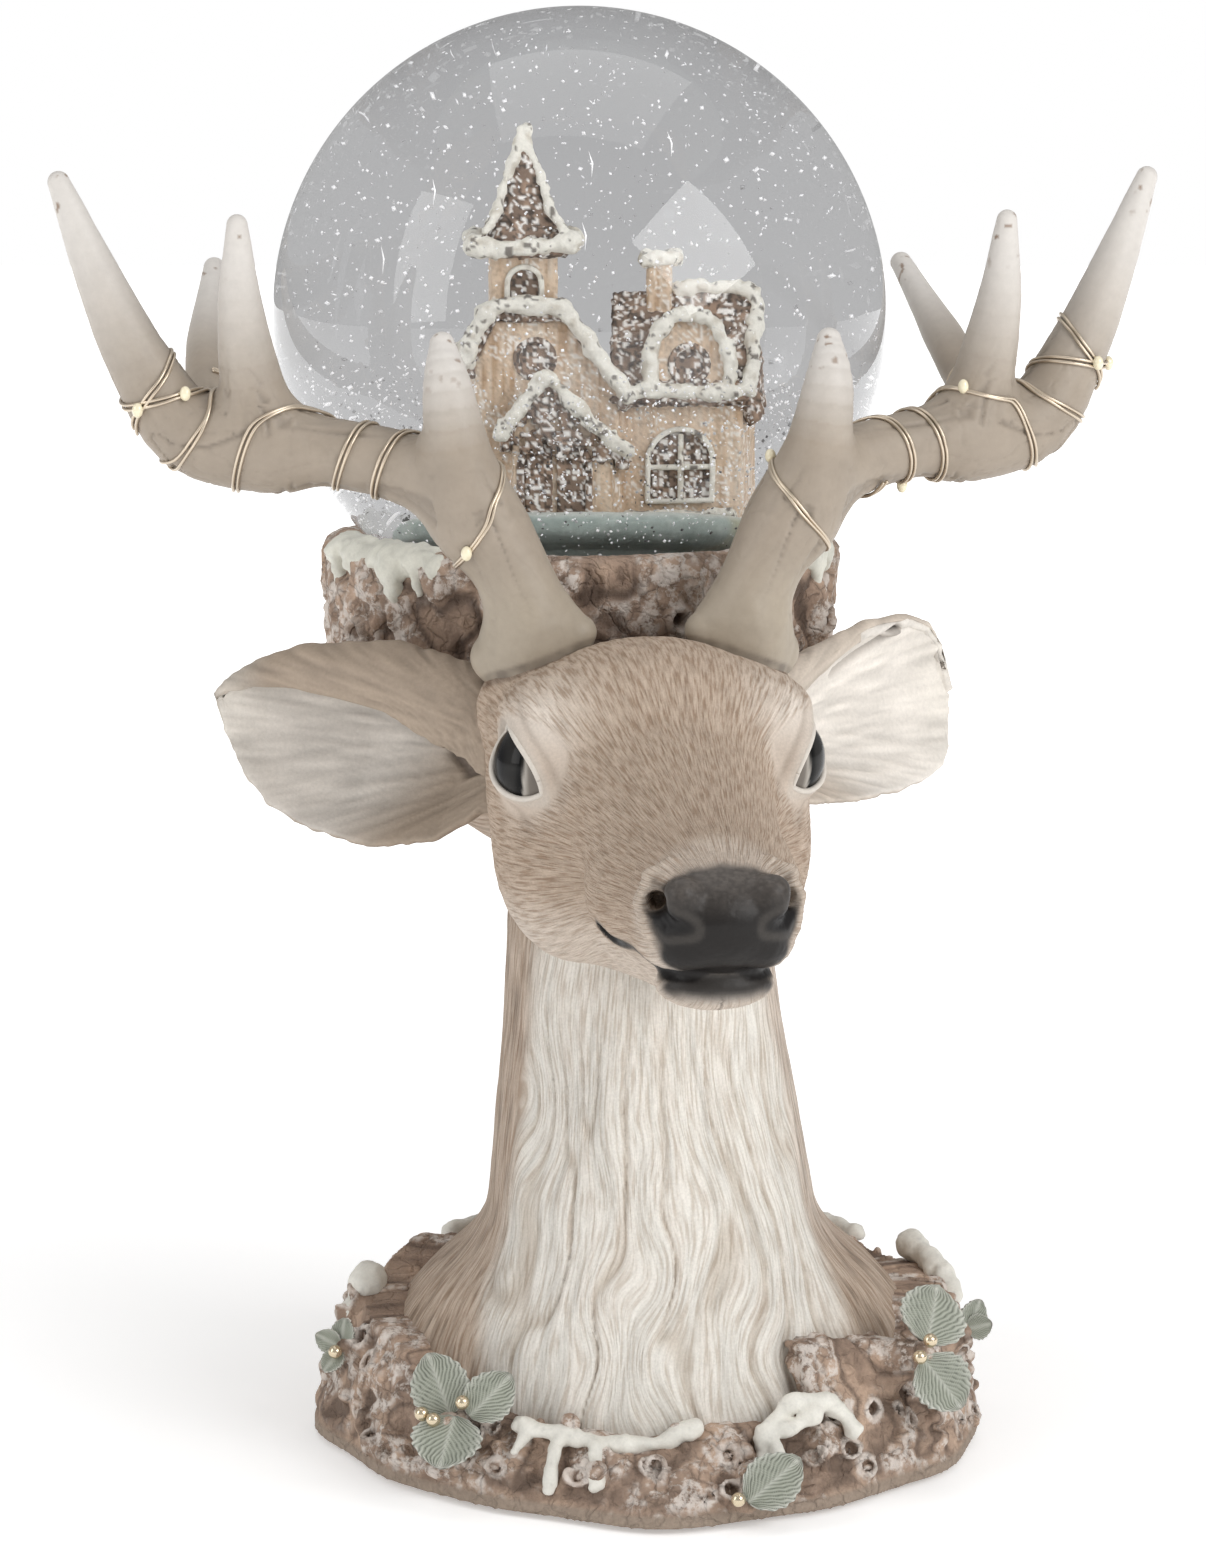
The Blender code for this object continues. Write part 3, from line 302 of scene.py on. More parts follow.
class Bins:
    """Points sorted into square columns, to find those near something quickly."""

    SIZE = 4.0
    ACROSS = 120  # columns along each side

    def __init__(self, points):
        self.points = points
        cell = self.column(points[:, :2])
        number = cell[:, 0] * self.ACROSS + cell[:, 1]
        self.order = np.argsort(number, kind="stable")
        self.starts = np.searchsorted(number[self.order], np.arange(self.ACROSS**2 + 1))

    def column(self, place):
        number = np.floor(place / self.SIZE).astype(int) + self.ACROSS // 2
        return np.clip(number, 0, self.ACROSS - 1)

    def inside(self, low, high):
        """The numbers of the points in a box."""
        a, b = self.column(np.asarray(low)[:2]), self.column(np.asarray(high)[:2])
        runs = []
        for x in range(a[0], b[0] + 1):
            first, last = x * self.ACROSS + a[1], x * self.ACROSS + b[1] + 1
            runs.append(self.order[self.starts[first] : self.starts[last]])
        found = np.concatenate(runs)
        z = self.points[found, 2]
        return found[(z > low[2]) & (z < high[2])]


def strings(p, rows, k, wobble=0.0, margin=6.0):
    """The union of strings of limbs, each worked out only near itself. A row is radius, points..."""
    f = np.full(len(p), 1e3)
    bins = Bins(p)
    for number, (radius, *points) in enumerate(rows):
        fine = spline(points, 4) if len(points) > 2 else np.array(points, float)
        near = bins.inside(fine.min(0) - margin, fine.max(0) + margin)
        if len(near):
            widths = np.full(len(fine), 1.0) * radius
            widths = widths * (1 + wobble * np.sin(np.arange(len(fine)) * 1.1 + number))
            f[near] = joined(f[near], chain(p[near], fine, widths, 0.02), k)
    return f


def lofted(rings):
    """A closed skin over rings of points, with a fan of triangles at each end."""
    rings = np.asarray(rings, float)
    m, n = rings.shape[:2]
    points = np.vstack((rings.reshape(-1, 3), rings[0].mean(0), rings[-1].mean(0)))
    j = np.arange(n)
    k = (j + 1) % n
    row = np.arange(m - 1)[:, None] * n
    quads = np.stack((row + j, row + k, row + n + k, row + n + j), -1).reshape(-1, 4)
    low = np.stack((np.full(n, m * n), k, j), 1)
    high = np.stack((np.full(n, m * n + 1), (m - 1) * n + j, (m - 1) * n + k), 1)
    faces = (quads, np.vstack((low, high)))
    if volume(points, faces) < 0:
        faces = tuple(f[:, ::-1] for f in faces)
    return points, faces


def volume(points, faces):
    """Negative when the faces point in."""
    total = 0
    for f in faces:
        for i in range(1, f.shape[1] - 1):
            a, b, c = points[f[:, 0]], points[f[:, i]], points[f[:, i + 1]]
            total += (a * np.cross(b, c)).sum()
    return total / 6


def outward(points, faces):
    """The direction each point faces."""
    total = np.zeros((len(points), 3))
    for f in faces:
        across = np.cross(points[f[:, 2]] - points[f[:, 0]], points[f[:, -1]] - points[f[:, 1]])
        for i in range(f.shape[1]):
            for axis in range(3):
                total[:, axis] += np.bincount(f[:, i], across[:, axis], len(points))
    return total / np.maximum(norm(total), 1e-12)[:, None]


def merged(parts):
    """Several (points, faces) as one."""
    points, kinds, start = [], {}, 0
    for p, faces in parts:
        points.append(p)
        for f in faces:
            kinds.setdefault(f.shape[1], []).append(f + start)
        start += len(p)
    return np.vstack(points), tuple(np.vstack(f) for f in kinds.values())


def tube(path, radii, sides=8):
    """A closed round tube along a path."""
    path = np.asarray(path, float)
    radii = np.broadcast_to(radii, len(path))
    ahead = unit(np.gradient(path, axis=0))
    side = np.cross(ahead[0], (0.3, 0.5, 0.81))
    turn = np.arange(sides) / sides * 2 * np.pi
    rings = []
    for point, along, r in zip(path, ahead, radii):
        side = unit(side - along * (side @ along))
        up = np.cross(along, side)
        rings.append(point + r * (np.cos(turn)[:, None] * side + np.sin(turn)[:, None] * up))
    return lofted(rings)


def ball(centre, radii, steps=16):
    """A closed ball or egg, upright."""
    tilt = np.linspace(0.02, np.pi - 0.02, steps)[:, None]
    turn = np.arange(2 * steps)[None] / steps * np.pi
    rings = (np.sin(tilt) * np.cos(turn), np.sin(tilt) * np.sin(turn), np.cos(tilt) + 0 * turn)
    return lofted(np.asarray(centre) + np.stack(rings, -1) * np.asarray(radii))


def new_mesh(name, points, faces):
    """A mesh from points in millimetres and faces of any sizes."""
    mesh = bpy.data.meshes.new(name)
    faces = faces if isinstance(faces, tuple) else (faces,)
    sizes = np.concatenate([np.full(len(f), f.shape[1]) for f in faces])
    loops = np.concatenate([f.ravel() for f in faces])
    mesh.vertices.add(len(points))
    mesh.vertices.foreach_set("co", (np.asarray(points, float) * MM).astype(np.float32).ravel())
    mesh.loops.add(len(loops))
    mesh.loops.foreach_set("vertex_index", loops.astype(np.int32))
    mesh.polygons.add(len(sizes))
    mesh.polygons.foreach_set("loop_start", (np.cumsum(sizes) - sizes).astype(np.int32))
    mesh.update(calc_edges=True)
    return mesh


def add_object(name, data):
    """A new object in the scene."""
    obj = bpy.data.objects.new(name, data)
    bpy.context.scene.collection.objects.link(obj)
    return obj


def mesh_object(name, points, faces, mat, colour=None, layers=None, node=None, slot=None):
    """Makes a piece. colour and layers are stored for its material; node is what it stands in for."""
    mesh = new_mesh(name, points, faces)
    if colour is not None:
        layer = mesh.color_attributes.new("tint", "FLOAT_COLOR", "POINT")
        full = np.concatenate((np.clip(colour, 0, 1), np.ones((len(points), 1))), 1)
        layer.data.foreach_set("color", full.astype(np.float32).ravel())
    for key, values in (layers or {}).items():
        if values.ndim == 1:
            mesh.attributes.new(key, "FLOAT", "POINT").data.foreach_set("value", values.astype(np.float32))
        else:
            layer = mesh.attributes.new(key, "FLOAT_VECTOR", "POINT")
            layer.data.foreach_set("vector", values.astype(np.float32).ravel())
    mesh.shade_smooth()
    mesh.materials.append(mat)
    obj = add_object(name, mesh)
    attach(obj, BODY)
    for n in [node] if isinstance(node, str) else node or []:
        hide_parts(n)


# --- node materials -------------------------------------------------------------------------------
class Nodes:
    """A short way to wire a material's nodes."""

    def __init__(self, name):
        self.mat = bpy.data.materials.new(name)
        self.mat.use_nodes = True
        self.tree = self.mat.node_tree
        self.shader = self.tree.nodes["Principled BSDF"]

    def node(self, kind, inputs=None, **settings):
        """Adds a node. kind leaves out ShaderNode; inputs are set or linked."""
        made = self.tree.nodes.new("ShaderNode" + kind)
        for key, value in settings.items():
            setattr(made, key, value)
        for key, value in (inputs or {}).items():
            self.put(made.inputs[key], value)
        return made

    def put(self, socket, value):
        """Links a socket, or sets its value."""
        if isinstance(value, bpy.types.NodeSocket):
            self.tree.links.new(value, socket)
        elif isinstance(value, tuple) and len(value) == 3 and socket.type == "RGBA":
            socket.default_value = (*value, 1)
        else:
            socket.default_value = value

    def set(self, **inputs):
        """Sets or links the shader's inputs, with _ for each space in their names."""
        for key, value in inputs.items():
            self.put(self.shader.inputs[key.replace("_", " ")], value)
        return self

    def attribute(self, name, output="Color"):
        return self.node("Attribute", attribute_name=name).outputs[output]

    def place(self):
        return self.node("TexCoord").outputs["Object"]

    def noise(self, scale, detail=3.0, stretch=(1, 1, 1), place=None, roughness=0.55):
        """Noise whose grains are 1 / scale metres, stretched along the axes."""
        mapped = self.node("Mapping", {"Vector": place or self.place(), "Scale": stretch}).outputs[0]
        inputs = {"Vector": mapped, "Scale": scale, "Detail": detail, "Roughness": roughness}
        return self.node("TexNoise", inputs).outputs["Fac"]

    def ramp(self, value, stops):
        """Colours or greys by value, from (place, colour) stops."""
        made = self.node("ValToRGB", {"Fac": value})
        elements = made.color_ramp.elements
        while len(elements) < len(stops):
            elements.new(0.5)
        for element, (place, colour) in zip(elements, stops):
            element.position = place
            element.color = (*colour, 1) if isinstance(colour, tuple) else (colour, colour, colour, 1)
        return made.outputs["Color"]

    def blend(self, share, a, b, kind="MIX"):
        made = self.node("Mix", data_type="RGBA", blend_type=kind)
        for socket, value in ((made.inputs[0], share), (made.inputs[6], a), (made.inputs[7], b)):
            self.put(socket, value)
        return made.outputs[2]

    def surface(self, share, a, b):
        """The material is a blend of two shaders."""
        made = self.node("MixShader", {0: share, 1: a.outputs[0], 2: b.outputs[0]})
        self.put(self.tree.nodes["Material Output"].inputs["Surface"], made.outputs[0])
        return made

    def maths(self, operation, a, b=0.5):
        return self.node("Math", {0: a, 1: b}, operation=operation).outputs[0]

    def bump(self, height, depth, strength=0.6, below=None):
        """depth is in millimetres."""
        inputs = {"Height": height, "Distance": depth * MM, "Strength": strength}
        if below is not None:
            inputs["Normal"] = below
        return self.node("Bump", inputs).outputs["Normal"]


def fur_material():
    """Painted resin with engraved hair: the tint is on the mesh, finer hairs follow the flow."""
    n = Nodes("fur_resin")
    flow = n.attribute("flow", "Vector")
    hair = n.noise(1, 2.0, (2.9, 0.38, 1), flow)
    fine = n.noise(1, 2.0, (4.6, 0.8, 1), flow)
    speck = n.noise(2600, 2.0)
    shade = n.ramp(hair, ((0.36, (0.70, 0.63, 0.57)), (0.51, (0.99, 0.98, 0.97)), (0.63, 1.14)))
    tint = n.blend(n.attribute("hairy", "Fac"), n.attribute("tint"), shade, "MULTIPLY")
    tint = n.blend(0.25, tint, n.ramp(speck, ((0.3, 0.7), (0.7, 1.25))), "MULTIPLY")
    height = n.maths("ADD", n.maths("MULTIPLY", hair, 0.7), n.maths("MULTIPLY", fine, 0.4))
    normal = n.bump(n.maths("MULTIPLY", height, n.attribute("hairy", "Fac")), 0.6, 0.9)
    normal = n.bump(speck, 0.05, 0.4, normal)
    rough = n.maths("SUBTRACT", 0.74, n.attribute("gloss", "Fac"))
    n.set(Base_Color=tint, Roughness=rough, Normal=normal, Specular_IOR_Level=0.22)
    return n.mat


def bark_material():
    """Bark: the mesh's tint, split by fine cracks, with white dragged over what stands proud."""
    n = Nodes("bark_paint")
    swirl = n.node("TexNoise", {"Vector": n.place(), "Scale": 240, "Detail": 4.0}).outputs["Color"]
    moved = n.blend(0.006, n.place(), swirl)
    cells = n.node("TexVoronoi", {"Vector": moved, "Scale": 290}, feature="DISTANCE_TO_EDGE")
    crack = cells.outputs["Distance"]
    coarse = n.noise(330, 6.0, roughness=0.7)
    fine = n.noise(1300, 4.0, roughness=0.65)
    proud = n.attribute("proud", "Fac")
    split = n.ramp(crack, ((0.0, 0.35), (0.05, 0.85), (0.3, 1.08)))
    tint = n.blend(n.maths("MULTIPLY", proud, 0.6), n.attribute("tint"), split, "MULTIPLY")
    tint = n.blend(0.4, tint, n.ramp(fine, ((0.3, 0.6), (0.7, 1.3))), "MULTIPLY")
    drag = n.maths("MULTIPLY", n.ramp(coarse, ((0.49, 0.0), (0.57, 1.0))), proud)
    tint = n.blend(n.maths("MULTIPLY", drag, 0.85), tint, DUSTED)
    height = n.maths("ADD", n.maths("MULTIPLY", n.ramp(crack, ((0.0, 0.0), (0.12, 1.0))), 0.5), coarse)
    normal = n.bump(n.maths("ADD", height, n.maths("MULTIPLY", fine, 0.4)), 0.55, 0.9)
    n.set(Base_Color=tint, Roughness=0.8, Normal=normal, Specular_IOR_Level=0.3)
    return n.mat


def painted(name, rough=0.7, grain=1500, depth=0.12, fleck=0.25, spread=1.3, gloss=0.35):
    """Paint on resin: the mesh's tint, broken up by a fine grain that is also in relief."""
    n = Nodes(name)
    fine = n.noise(grain, 4.0, roughness=0.65)
    broad = n.noise(grain / 6, 3.0)
    tint = n.blend(fleck, n.attribute("tint"), n.ramp(fine, ((0.3, 0.6), (0.7, spread))), "MULTIPLY")
    tint = n.blend(fleck * 0.6, tint, n.ramp(broad, ((0.3, 0.75), (0.7, 1.15))), "MULTIPLY")
    normal = n.bump(n.maths("ADD", fine, n.maths("MULTIPLY", broad, 1.2)), depth, 0.6)
    n.set(Base_Color=tint, Roughness=rough, Normal=normal, Specular_IOR_Level=gloss)
    return n.mat


# --- bust -----------------------------------------------------------------------------------------
EYE = np.array((18.4, -20.6, 112.6))
EYE_OUT = unit(np.array((0.91, -0.40, 0.08)))
EYE_ALONG = unit(np.cross(EYE_OUT, (0, 0, 1)))  # towards the nose
EYE_UP = np.cross(EYE_ALONG, EYE_OUT)
EYE_BALL = 6.8
EYE_TILT = 0.30
MOUTH = ((13.8, -51, 93.8), (13.4, -53, 91.2), (11.4, -59, 90.2), (6.5, -67.5, 89.3), (0, -71.5, 89.3))
NOSTRIL = ((6.6, -69.0, 104.2), (9.2, -69.0, 102.4), (10.5, -69.6, 99.8))
NOSTRIL += ((9.2, -72.0, 97.4), (6.2, -74.2, 96.8))
ALAR = ((7.2, -65.5, 105.0), (10.0, -66, 103.2), (11.1, -66, 99.8), (10.4, -67.5, 95.8))
NECK_LEVELS = (  # height, half width, front, back, middle x
    (0, 44, -46, 46, 0),
    (12, 43.5, -45, 45, 0),
    (20, 41, -44, 42, 0),
    (27, 35, -42.5, 37, 0),
    (32, 29, -41, 34, -0.2),
    (37, 26, -39.5, 31, -0.3),
    (52, 24, -34, 26, -1),
    (68, 21.8, -29, 23, -1.8),
    (84, 20.5, -24, 22, -2.5),
    (100, 17, -18, 18, -3),
    (108, 12, -14, 12, -3),
)


def neck_table():
    """The neck's sections on a fine scale of heights, smoothed."""
    levels = np.array(NECK_LEVELS, float)
    heights = np.arange(0, 112, 0.5)
    kernel = np.hanning(17)
    kernel /= kernel.sum()
    columns = []
    for i in range(1, 5):
        line = np.interp(heights, levels[:, 0], levels[:, i])
        columns.append(np.convolve(np.pad(line, 8, "edge"), kernel, "valid"))
    return heights, columns


NECK_HEIGHTS, NECK_COLUMNS = neck_table()


def neck_field(p):
    """Neck and chest, with the prop at the back that carries the stump."""
    half, front, back, middle = [np.interp(p[:, 2], NECK_HEIGHTS, c) for c in NECK_COLUMNS]
    depth = (back - front) / 2
    reach = np.hypot((p[:, 0] - middle) / half, (p[:, 1] - (front + back) / 2) / depth)
    field = (reach - 1) * np.minimum(half, depth)
    field = np.maximum(field, (p[:, 2] - 104) * 0.7)
    prop = limb(p, (-2, 12, 58), (-7, 33, 86), 16, 15)
    prop = joined(prop, limb(p, (-8.5, 36.5, 92), (-11.2, 38, 100), 16, 23), 5)
    return joined(field, prop, 7)


def almond(along, rise):
    """Negative in the eye's opening, which two arcs bound."""
    return np.maximum(np.hypot(along + 0.9, rise + 3.6) - 8.6, np.hypot(along - 0.9, rise - 4.3) - 8.8)


def eye_opening(m):
    """The opening through the lids, measured round the ball, and the way out. m is mirrored to x > 0."""
    q = m - EYE
    far = np.maximum(norm(q), 1e-6)
    out = q @ EYE_OUT
    along = np.arctan2(q @ EYE_ALONG, np.maximum(out, 0.05)) * EYE_BALL
    up = np.arcsin(np.clip(q @ EYE_UP / far, -1, 1)) * EYE_BALL
    return almond(along, up + EYE_TILT * along), out


HEAD_LUMPS = (  # how softly each joins those before it, its kind, and its places and radii
    (5, ellipsoid, (0, -18, 119), (18, 13, 10.5)),  # forehead
    (5, ellipsoid, (10.8, -14, 98.5), (13.4, 17.5, 17.5)),  # cheek
    (4, ellipsoid, (7.0, -48, 96.5), (8.6, 13, 7.5)),
    (6, limb, (0, -20, 108), (0, -58, 99), 17.5, 10.8),  # bridge of the nose
    (3, ellipsoid, (0, -63, 97.0), (12.0, 11.6, 8.6)),  # muzzle
    (2, ellipsoid, (5.6, -62.5, 93.4), (5.2, 9.3, 4.4)),  # upper lip
    (4, limb, (0, -22, 92), (0, -56, 88.6), 13, 6),  # jaw
    (1.5, ellipsoid, (0, -62.5, 87), (8.6, 6.5, 3.8)),  # chin
    (4, ellipsoid, (15.5, -17, 119.2), (8.5, 10, 6.0)),  # brow
    (4, ellipsoid, (15.5, -2, 118), (9.5, 9, 8.5)),  # foot of the antler
)


def head_field(h):
    """The head without mouth and nostrils, and the points mirrored to x > 0."""
    m = h.copy()
    m[:, 0] = np.sqrt(m[:, 0] ** 2 + 0.3)
    f = ellipsoid(m, (0, -9, 110), (24.5, 20, 19.5))
    for soft, kind, *sizes in HEAD_LUMPS:
        f = joined(f, kind(m, *sizes), soft)
    from_eye = norm(m - EYE)
    f = joined(f, from_eye - (EYE_BALL + 0.7), 1.8)
    opening, out = eye_opening(m)
    f = carved(f, np.maximum(opening, 1.4 - out), 0.5)
    f = joined(f, from_eye - (EYE_BALL - 0.5), 0.05)
    return f, m


def face_details(f, m):
    """Mouth, nostrils and the soft planes of the cheek."""
    f = carved(f, chain(m, MOUTH, (0.7, 1.2, 1.1, 1.1, 1.15), 0.5), 0.8)
    f = joined(f, chain(m, ALAR, (0.7, 1.0, 1.1, 0.8), 1), 1.6)
    f = joined(f, limb(m, (6.4, -70.8, 101), (6.2, -70.8, 99.6), 2.9, 2.8), 1.5)
    f = carved(f, chain(m, NOSTRIL, (0.7, 1.3, 1.7, 1.4, 0.7), 0.6), 0.6)
    f = carved(f, limb(m, (10.2, -70.5, 100.4), (8.0, -62, 99.4), 1.8, 1.0), 0.8)
    f = carved(f, limb(m, (0, -77.2, 97), (0, -76.0, 90), 0.8, 0.8), 0.8)
    return f


def bust_field(p):
    """Head and neck, with room for the stump and cut off flat where the base begins."""
    h = to_head(p)
    f = face_details(*head_field(h))
    f = joined(f, neck_field(p), 3.0)
    away = np.hypot(h[:, 0] - GLOBE[0], h[:, 1] - GLOBE[1]) - 31
    f = np.maximum(f, np.minimum(-away, p[:, 2] - 97.7))
    return np.maximum(f, 10.2 - p[:, 2])


def chest_share(p):
    """1 on the white front of the neck and chest, 0 on the sides and back."""
    turn = np.degrees(np.arctan2(p[:, 0] + 1, -p[:, 1]))
    left = np.interp(p[:, 2], (10, 22, 36, 60, 90), (31, 36, 44, 44, 42))
    right = np.interp(p[:, 2], (10, 22, 36, 60, 90), (40, 44, 56, 56, 46))
    edge = np.where(turn > 0, right, left) + 5 * noise(p * (0.2, 0.2, 0.05), 4)
    return smooth(np.abs(turn), edge + 7, edge - 7) * smooth(p[:, 2], 95, 84)


def hair_fields(p, h, on_head):
    """The relief of fur strokes and chest locks, and where along and across the hair each point is."""
    drop = np.hypot(h[:, 0], h[:, 2] - 99)
    reach = np.hypot(drop, h[:, 1] + 70)
    face_across = np.arctan2(h[:, 0], h[:, 2] - 99) * 20
    turn = np.arctan2(p[:, 0] + 2, -(p[:, 1] - 2))
    wave = 2.6 * noise(p * (0.055, 0.055, 0.05), 31) + 1.0 * noise(p * (0.12, 0.12, 0.09), 32)
    wave = wave * chest_share(p) * smooth(p[:, 2], 84, 50)
    out = np.hypot(p[:, 0], p[:, 1])
    neck_along = p[:, 2] - 0.7 * np.maximum(out - 26, 0)
    neck_across = turn * 25 + 1.7 * wave
    across = np.where(on_head > 0.5, face_across, neck_across)
    along = np.where(on_head > 0.5, reach, neck_along)
    sway = 1.5 * noise(h * 0.10, 33)
    face = noise(np.stack((face_across / 0.62 + sway, reach / 2.6, drop * 0), 1), 3)
    face += 0.7 * noise(np.stack((face_across / 0.42 - sway, reach / 1.9, drop * 0), 1), 5)
    side = noise(np.stack((neck_across / 0.7, neck_along / 6, out * 0), 1), 8)
    side += 0.6 * noise(np.stack((neck_across / 0.5, neck_along / 4, out * 0), 1), 9)
    lock = noise(np.stack((neck_across / 3.2, neck_along / 30, out * 0), 1), 12)
    fine = noise(np.stack((neck_across / 0.8, neck_along / 11, out * 0), 1), 13)
    chest = chest_share(p)
    strokes = on_head * face * 0.6 + (1 - on_head) * (side * 0.6 * (1 - chest) + chest * fine * 0.8)
    locks = -(1 - on_head) * chest * np.exp(-((lock / 0.085) ** 2)) * smooth(p[:, 2], 84, 52)
    flow = np.stack((across, along * (0.36 + 0.30 * on_head), 40 * on_head), 1)
    return strokes, locks, flow


FUR = (0.435, 0.343, 0.268)
PALE = (0.66, 0.595, 0.53)
WHITE = (0.72, 0.69, 0.635)
DARK = (0.014, 0.012, 0.011)
FUR_PATCH = (0.40, 0.305, 0.24)
FUR_CREST = (0.7, 0.62, 0.55)
GLUE = (0.13, 0.095, 0.07)
LID_RIM = (0.62, 0.57, 0.51)
NOSE_TOP = (0.12, 0.104, 0.092)
NOSE_RIM = (0.50, 0.43, 0.36)
NOSE_WING_HIGHLIGHT = (0.06, 0.053, 0.047)
HOLLOW = (0.006, 0.005, 0.005)
LID = (0.52, 0.46, 0.40)
LID_FOLD = (0.25, 0.20, 0.16)
LID_GAP = (0.05, 0.04, 0.035)


def bust_colour(p, h, m, strokes, locks, on_head):
    """Fur, paler round the eyes and muzzle, with a white chest and paint in the engraved strokes."""
    fur = mix(FUR, FUR_PATCH, smooth(noise(p * 0.06, 6), 0, 1) * 0.5)
    brow = np.exp(-(((m - (17.5, -24, 121)) / (6.5, 9, 5.5)) ** 2).sum(1))
    ring = smooth(norm(m - EYE - EYE_OUT * 4 + EYE_ALONG * -1.5), 12, 7)
    muzzle = smooth(ellipsoid(m, (0, -70, 98), (12, 9, 10)), 4, 0.5)
    jaw = smooth(h[:, 2], 96, 86) * on_head
    pale = np.clip(brow * 0.6 + ring * 0.35 + muzzle * 0.42 + jaw * 0.6, 0, 1) * on_head
    colour = mix(fur, PALE, pale)
    chest = chest_share(p) * (1 - on_head)
    # The neck's sides are a little paler all round; the extra pallor on the +X side, towards the main lamp,
    # is painted light.
    right = smooth(p[:, 0], -4, 14) * smooth(p[:, 2], 30, 42)
    side = (0.12 + 0.5 * right) * smooth(p[:, 2], 24, 36) * (1 - on_head)
    colour = mix(mix(colour, PALE, side), WHITE, chest)
    groove = np.clip(-strokes, 0, 1)
    crest = np.clip(strokes, 0, 1)
    colour = colour * (1 - (0.5 - 0.34 * on_head) * groove * (1 - 0.55 * chest))[:, None]
    colour = mix(colour, FUR_CREST, (0.3 - 0.2 * on_head) * crest)
    hollow = np.clip(-locks, 0, 1)
    return colour * (1 - np.array((0.20, 0.24, 0.28)) * hollow[:, None])


def nose_share(m, h):
    """1 on the bare black nose, lips and mouth."""
    pad = ellipsoid(m, (0, -74.5, 98.8), (12.8, 10.6, 7.4))
    lip = ellipsoid(m, (0, -73, 92.8), (9.8, 9.0, 4.2))
    low = ellipsoid(m, (0, -68.0, 87.0), (8.6, 7.5, 2.8))
    wobble = 0.3 * noise(h * 0.5, 22)
    pad = joined(pad, lip, 2) + wobble
    mouth = chain(m, MOUTH, (0.9, 1.0, 1.1, 1.3, 1.4), 0.5)
    low = 0.97 * smooth(low + wobble, 1.5, -0.8) * smooth(h[:, 2] + wobble, 84.2, 87.2)
    return np.maximum(np.maximum(smooth(pad, 1.1, -0.7), low), smooth(mouth, 1.0, 0.1))


def seam(colour, m, on_head):
    """The dirty line where the antlers are glued in."""
    at = np.flatnonzero((m[:, 2] > 118) & (on_head > 0.5))
    share = np.zeros(len(m))
    share[at] = smooth(np.abs(antler_field(m[at]) - 0.2), 1.1, 0.4) * (0.75 + 0.5 * noise(m[at] * 0.5, 44))
    return mix(colour, GLUE, np.clip(share, 0, 1) * 0.8)


def lid_rims():
    """A fine pale rim round each eye's opening, lying on the ball."""
    turn = np.radians(np.arange(0, 361, 2.0))
    grid = np.arange(0.5, 12, 0.02)
    path = []
    for a in turn:
        along, tilt = grid * math.cos(a), grid * math.sin(a) + 0.35
        edge = np.argmax(almond(along, tilt) > 0.1)
        side, rise = along[edge] / EYE_BALL, (tilt[edge] - EYE_TILT * along[edge]) / EYE_BALL
        level = math.cos(side) * EYE_OUT + math.sin(side) * EYE_ALONG
        path.append(EYE + (math.cos(rise) * level + math.sin(rise) * EYE_UP) * (EYE_BALL + 0.38))
    points, faces = tube(path, 0.46, 10)
    for name, side in SIDES:
        colour = np.broadcast_to(LID_RIM, points.shape)
        mat = painted("lid_" + name, 0.6, 1600, 0.05, 0.15)
        mesh_object("lid_rim_" + name, *sided(points, faces, side), mat, colour=colour, slot="fur_resin")


def nose_paint(colour, h, m, nose, on_head):
    """Black nose and lips, pale skin round the nostrils, a grey ring round each nostril painted on as a
    highlight, and darkness in nostrils and mouth.
    """
    top = smooth(h[:, 2], 97.5, 105.5) * (0.6 + 0.4 * smooth(noise(h * 2.6, 41), -0.5, 0.6))
    skin = mix(DARK, NOSE_TOP, top)
    colour = mix(colour, skin, nose)
    rim = smooth(chain(m, ALAR, (0.4, 0.8, 0.9, 0.5), 0.5), 0.8, -0.2) * on_head
    colour = mix(colour, NOSE_RIM, rim * 0.85)
    # Painted highlight: a grey ring round each nostril, where the glossy rims would catch the light.
    wing = smooth(np.abs(chain(m, NOSTRIL, (0.7, 1.3, 1.7, 1.4, 0.7), 0.5) - 1.2), 0.9, 0.2) * nose
    colour = mix(colour, NOSE_WING_HIGHLIGHT, wing * 0.6)
    hollow = smooth(chain(m, NOSTRIL, (0.6, 1.2, 1.6, 1.3, 0.5), 0.5), 1.0, 0.0)
    gap = smooth(chain(m, MOUTH, (0.7, 1.2, 0.9, 0.7, 0.7), 0.5), 0.8, 0.1)
    colour = mix(colour, HOLLOW, np.maximum(hollow, gap) * on_head)
    return seam(colour, m, on_head)


def eye_marks(m):
    """How near the eye each point is, and its share of lid, of the gap under it and of the fold above."""
    from_eye = norm(m - EYE)
    near = smooth(from_eye, 9.6, 8.2)
    opening, out = eye_opening(m)
    lid = smooth(opening, 1.6, 0.7) * (out > 0) * near
    gap = smooth(opening, 0.1, -0.3) * near * (out > 0)
    fold = np.exp(-(((opening - 2.6) / 0.55) ** 2)) * (out > 0)
    return near, lid, gap, fold * smooth(from_eye, 13, 10)


